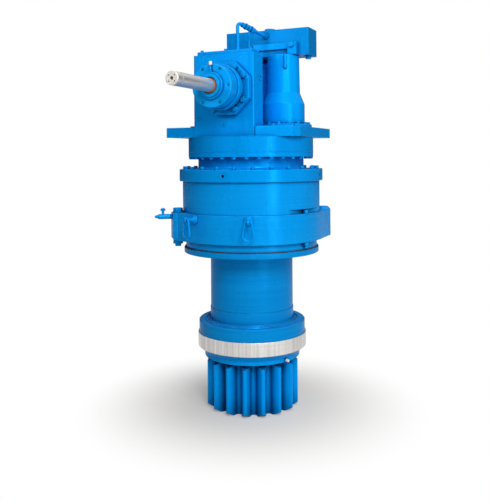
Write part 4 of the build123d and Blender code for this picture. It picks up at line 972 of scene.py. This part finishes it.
class REDUCER_OT_link_welds(bpy.types.Operator):
    """Close each lifting link with the swelling of its butt weld"""

    bl_idname = "reducer.link_welds"
    bl_label = "Link welds"

    def execute(self, context):
        length = context.scene.reducer_detail.link_weld
        look = context.scene.reducer_enamel
        paint = enamel_material("Link weld enamel", look, peel=0.5, lumps=0.6)
        for side in ("left", "right"):
            low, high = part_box(f"lifting_link_{side}")
            middle = (low + high) / 2
            deselect_all()
            bpy.ops.mesh.primitive_uv_sphere_add(
                segments=24, ring_count=16, radius=1,
                location=(middle.x, middle.y, low.z + LINK_BAR),
                rotation=(0, 0, math.atan2(middle.y, middle.x)),
            )
            made = bpy.context.active_object
            made.scale = (LINK_BAR + 0.0006, length / 2, LINK_BAR + 0.0005)
            bpy.ops.object.transform_apply(location=False, rotation=False, scale=True)
            roughened(made, offset=0.0005, seed=41, repeat=1)
            hand_over(made, f"link_weld_{side}", f"link_{side}", paint)
        return {"FINISHED"}


class REDUCER_OT_nipple_caps(bpy.types.Operator):
    """Fit the pale plastic caps on the grease nipples"""

    bl_idname = "reducer.nipple_caps"
    bl_label = "Nipple caps"

    def cap(self, place, turn, radius):
        """Cap with rounded ends and a grip bead."""
        deselect_all()
        bpy.ops.mesh.primitive_cylinder_add(vertices=28, radius=radius, depth=radius * 2.2)
        made = bpy.context.active_object
        apply_modifier(made, "BEVEL", "Round", width=radius * 0.35, segments=4,
                       limit_method="ANGLE")
        bead = torus(radius, radius * 0.16, (0, 0, -radius * 0.8), (0, 0, 0), steps=28)
        made = joined([made, bead])
        made.location = place
        made.rotation_euler = turn
        return made

    def execute(self, context):
        detail = context.scene.reducer_detail
        radius = detail.nipple_cap
        pale = plastic_material()
        upper = self.cap(
            (0, CAP_LOW.y + UPPER_NIPPLE_SETBACK, NIPPLES_HIGH.z - radius * 0.4),
            (0, 0, 0), radius,
        )
        hand_over(upper, "nipple_cap_upper", "root", pale)
        lower = self.cap(
            (
                detail.lower_cap_reach * math.cos(LOWER_NIPPLE_TURN),
                detail.lower_cap_reach * math.sin(LOWER_NIPPLE_TURN),
                NIPPLES_LOW.z + LOWER_NIPPLE_RISE,
            ),
            (0, math.radians(90), LOWER_NIPPLE_TURN), radius * 0.9,
        )
        hand_over(lower, "nipple_cap_lower", "root", pale)
        return {"FINISHED"}


class REDUCER_OT_rust_collar(bpy.types.Operator):
    """Gather rust and old grease where the shaft leaves the input cap"""

    bl_idname = "reducer.rust_collar"
    bl_label = "Rust collar"

    def execute(self, context):
        detail = context.scene.reducer_detail
        setback = 0.0024
        ring = laid_bead(
            detail.rust_ring, detail.rust_bead, (0, CAP_LOW.y + setback, INPUT_HEIGHT), seed=31,
            turn=(math.radians(90), 0, 0), unevenness=0.3,
        )
        rust = rust_material(context.scene.reducer_steel)
        hand_over(ring, "rust_collar", "root", rust)
        return {"FINISHED"}


class REDUCER_OT_stage(bpy.types.Operator):
    """Set up the floor, the lights and the camera"""

    bl_idname = "reducer.stage"
    bl_label = "Stage"

    def floor(self, colour):
        """Floor that keeps the object's shadow and fades into the white background."""
        deselect_all()
        bpy.ops.mesh.primitive_plane_add(size=FLOOR_SIZE, location=(0, 0, -FLOOR_GAP))
        floor = bpy.context.active_object
        floor.name = "floor"
        bpy.ops.object.transform_apply(location=True, rotation=True, scale=True)
        made = bpy.data.materials.new("Pale floor")
        made.use_nodes = True
        tree = made.node_tree
        tree.nodes.clear()
        leave = new_node(tree, "ShaderNodeOutputMaterial")
        matt = new_node(tree, "ShaderNodeBsdfDiffuse")
        matt.inputs["Color"].default_value = (*colour, 1)
        white = new_node(tree, "ShaderNodeEmission")
        places = new_node(tree, "ShaderNodeTexCoord")
        reach = new_node(tree, "ShaderNodeVectorMath", operation="LENGTH")
        tree.links.new(places.outputs["Object"], reach.inputs[0])
        fade = remapped(tree, reach.outputs["Value"], SHADOW_NEAR, SHADOW_FAR, new_low=0.25)
        path = new_node(tree, "ShaderNodeLightPath").outputs
        seen = plus(tree, path["Is Camera Ray"], times(tree, path["Is Glossy Ray"], 0.6))
        seen = plus(tree, seen, path["Is Transmission Ray"], clamp=True)
        blend = mix_shaders(tree, times(tree, fade, seen), matt.outputs[0], white.outputs[0])
        tree.links.new(blend, leave.inputs[0])
        floor.data.materials.append(made)

    def room(self, strength):
        """White background, soft light from the right, and walls that reflections show."""
        world = bpy.data.worlds.new("Studio")
        bpy.context.scene.world = world
        world.use_nodes = True
        tree = world.node_tree
        tree.nodes.clear()
        leave = new_node(tree, "ShaderNodeOutputWorld")
        white, air, walls = (new_node(tree, "ShaderNodeBackground") for _ in range(3))
        for background in (white, air, walls):
            background.inputs["Color"].default_value = (1, 1, 1, 1)
        heading = new_node(tree, "ShaderNodeTexCoord").outputs["Generated"]
        split = split_axes(tree, heading)
        side = along(tree, heading, TO_THE_RIGHT)
        lean = remapped(tree, side, low=-1.0, high=0.9, new_low=0.10, new_high=1.40)
        tree.links.new(times(tree, lean, strength), air.inputs["Strength"])

        turn = math_node(tree, "ARCTAN2", split["Y"], split["X"])
        broad = math_node(tree, "SINE", times(tree, turn, BROAD_STRETCHES))
        fine = math_node(tree, "SINE", times(tree, turn, FINE_STRETCHES))
        wave = plus(tree, broad, times(tree, fine, 0.5))
        bands = remapped(tree, wave, low=-1.2, high=1.2, new_low=0.50)
        shade = remapped(tree, side, low=-1.0, high=0.4, new_low=0.25)
        behind = along(tree, heading, TO_THE_BACK)
        flag = remapped(tree, behind, low=-0.25, high=0.45, new_low=1.0, new_high=0.10)
        level = times(tree, bands, times(tree, shade, flag))
        ceiling = remapped(tree, split["Z"], low=0.15, high=0.65, new_high=0.95)
        level = math_node(tree, "MAXIMUM", level, ceiling)
        tree.links.new(level, walls.inputs["Strength"])

        path = new_node(tree, "ShaderNodeLightPath").outputs
        mixed = mix_shaders(tree, path["Is Glossy Ray"], air.outputs[0], walls.outputs[0])
        seen = plus(tree, path["Is Camera Ray"], path["Is Transmission Ray"], clamp=True)
        tree.links.new(mix_shaders(tree, seen, mixed, white.outputs[0]), leave.inputs[0])

    def lamp(self, name, power, place, aim, width, height, spread):
        data = bpy.data.lights.new(name, "AREA")
        data.shape = "RECTANGLE"
        data.size = width
        data.size_y = height
        data.energy = power
        data.spread = spread
        made = bpy.data.objects.new(name, data)
        made.location = place
        made.rotation_euler = (Vector(aim) - Vector(place)).to_track_quat("-Z", "Y").to_euler()
        bpy.context.scene.collection.objects.link(made)

    def camera(self, look):
        data = bpy.data.cameras.new("Camera")
        data.sensor_fit = "VERTICAL"
        data.sensor_height = 36
        data.lens = look.lens
        data.shift_x, data.shift_y = look.shift
        made = bpy.data.objects.new("Camera", data)
        place = Vector(look.camera_place)
        made.location = place
        yaw = math.atan2(place.x, -place.y)
        made.rotation_mode = "XYZ"
        made.rotation_euler = (math.radians(90), look.roll, yaw)
        bpy.context.scene.collection.objects.link(made)
        bpy.context.scene.camera = made

    def execute(self, context):
        look = context.scene.reducer_studio
        self.floor(look.floor_colour)
        self.room(look.air_light)
        for name, power, *rest in LAMPS:
            self.lamp(name, getattr(look, power), *rest)
        self.camera(look)
        context.scene.view_settings.view_transform = "Standard"
        return {"FINISHED"}


class REDUCER_PT_panel(bpy.types.Panel):
    """Sizes and colours of the reducer, and its steps in order"""

    bl_idname = "REDUCER_PT_panel"
    bl_label = "Gear reducer"
    bl_space_type = "VIEW_3D"
    bl_region_type = "UI"
    bl_category = "Reducer"

    def draw(self, context):
        scene = context.scene
        for group in (scene.reducer_enamel, scene.reducer_steel, scene.reducer_detail,
                      scene.reducer_studio):
            box = self.layout.box()
            for name in group.__annotations__:
                box.prop(group, name)
        for step in STEPS:
            self.layout.operator(step.bl_idname)


GROUPS = (EnamelSettings, SteelSettings, DetailSettings, StudioSettings)
STEPS = (
    REDUCER_OT_shared_effects,
    REDUCER_OT_enamelled_parts,
    REDUCER_OT_bare_steel,
    REDUCER_OT_inner_parts,
    REDUCER_OT_seam_beads,
    REDUCER_OT_flange_lip,
    REDUCER_OT_tank_packing,
    REDUCER_OT_tank_welds,
    REDUCER_OT_link_welds,
    REDUCER_OT_nipple_caps,
    REDUCER_OT_rust_collar,
    REDUCER_OT_stage,
)


def register():
    for item in GROUPS + STEPS + (REDUCER_PT_panel,):
        bpy.utils.register_class(item)
    scene = bpy.types.Scene
    scene.reducer_enamel = bpy.props.PointerProperty(type=EnamelSettings)
    scene.reducer_steel = bpy.props.PointerProperty(type=SteelSettings)
    scene.reducer_detail = bpy.props.PointerProperty(type=DetailSettings)
    scene.reducer_studio = bpy.props.PointerProperty(type=StudioSettings)


def unregister():
    scene = bpy.types.Scene
    del scene.reducer_enamel
    del scene.reducer_steel
    del scene.reducer_detail
    del scene.reducer_studio
    for item in reversed(GROUPS + STEPS + (REDUCER_PT_panel,)):
        bpy.utils.unregister_class(item)


def main():
    register()
    for step in STEPS:
        family, name = step.bl_idname.split(".")
        getattr(getattr(bpy.ops, family), name)()


if __name__ == "__main__":
    main()
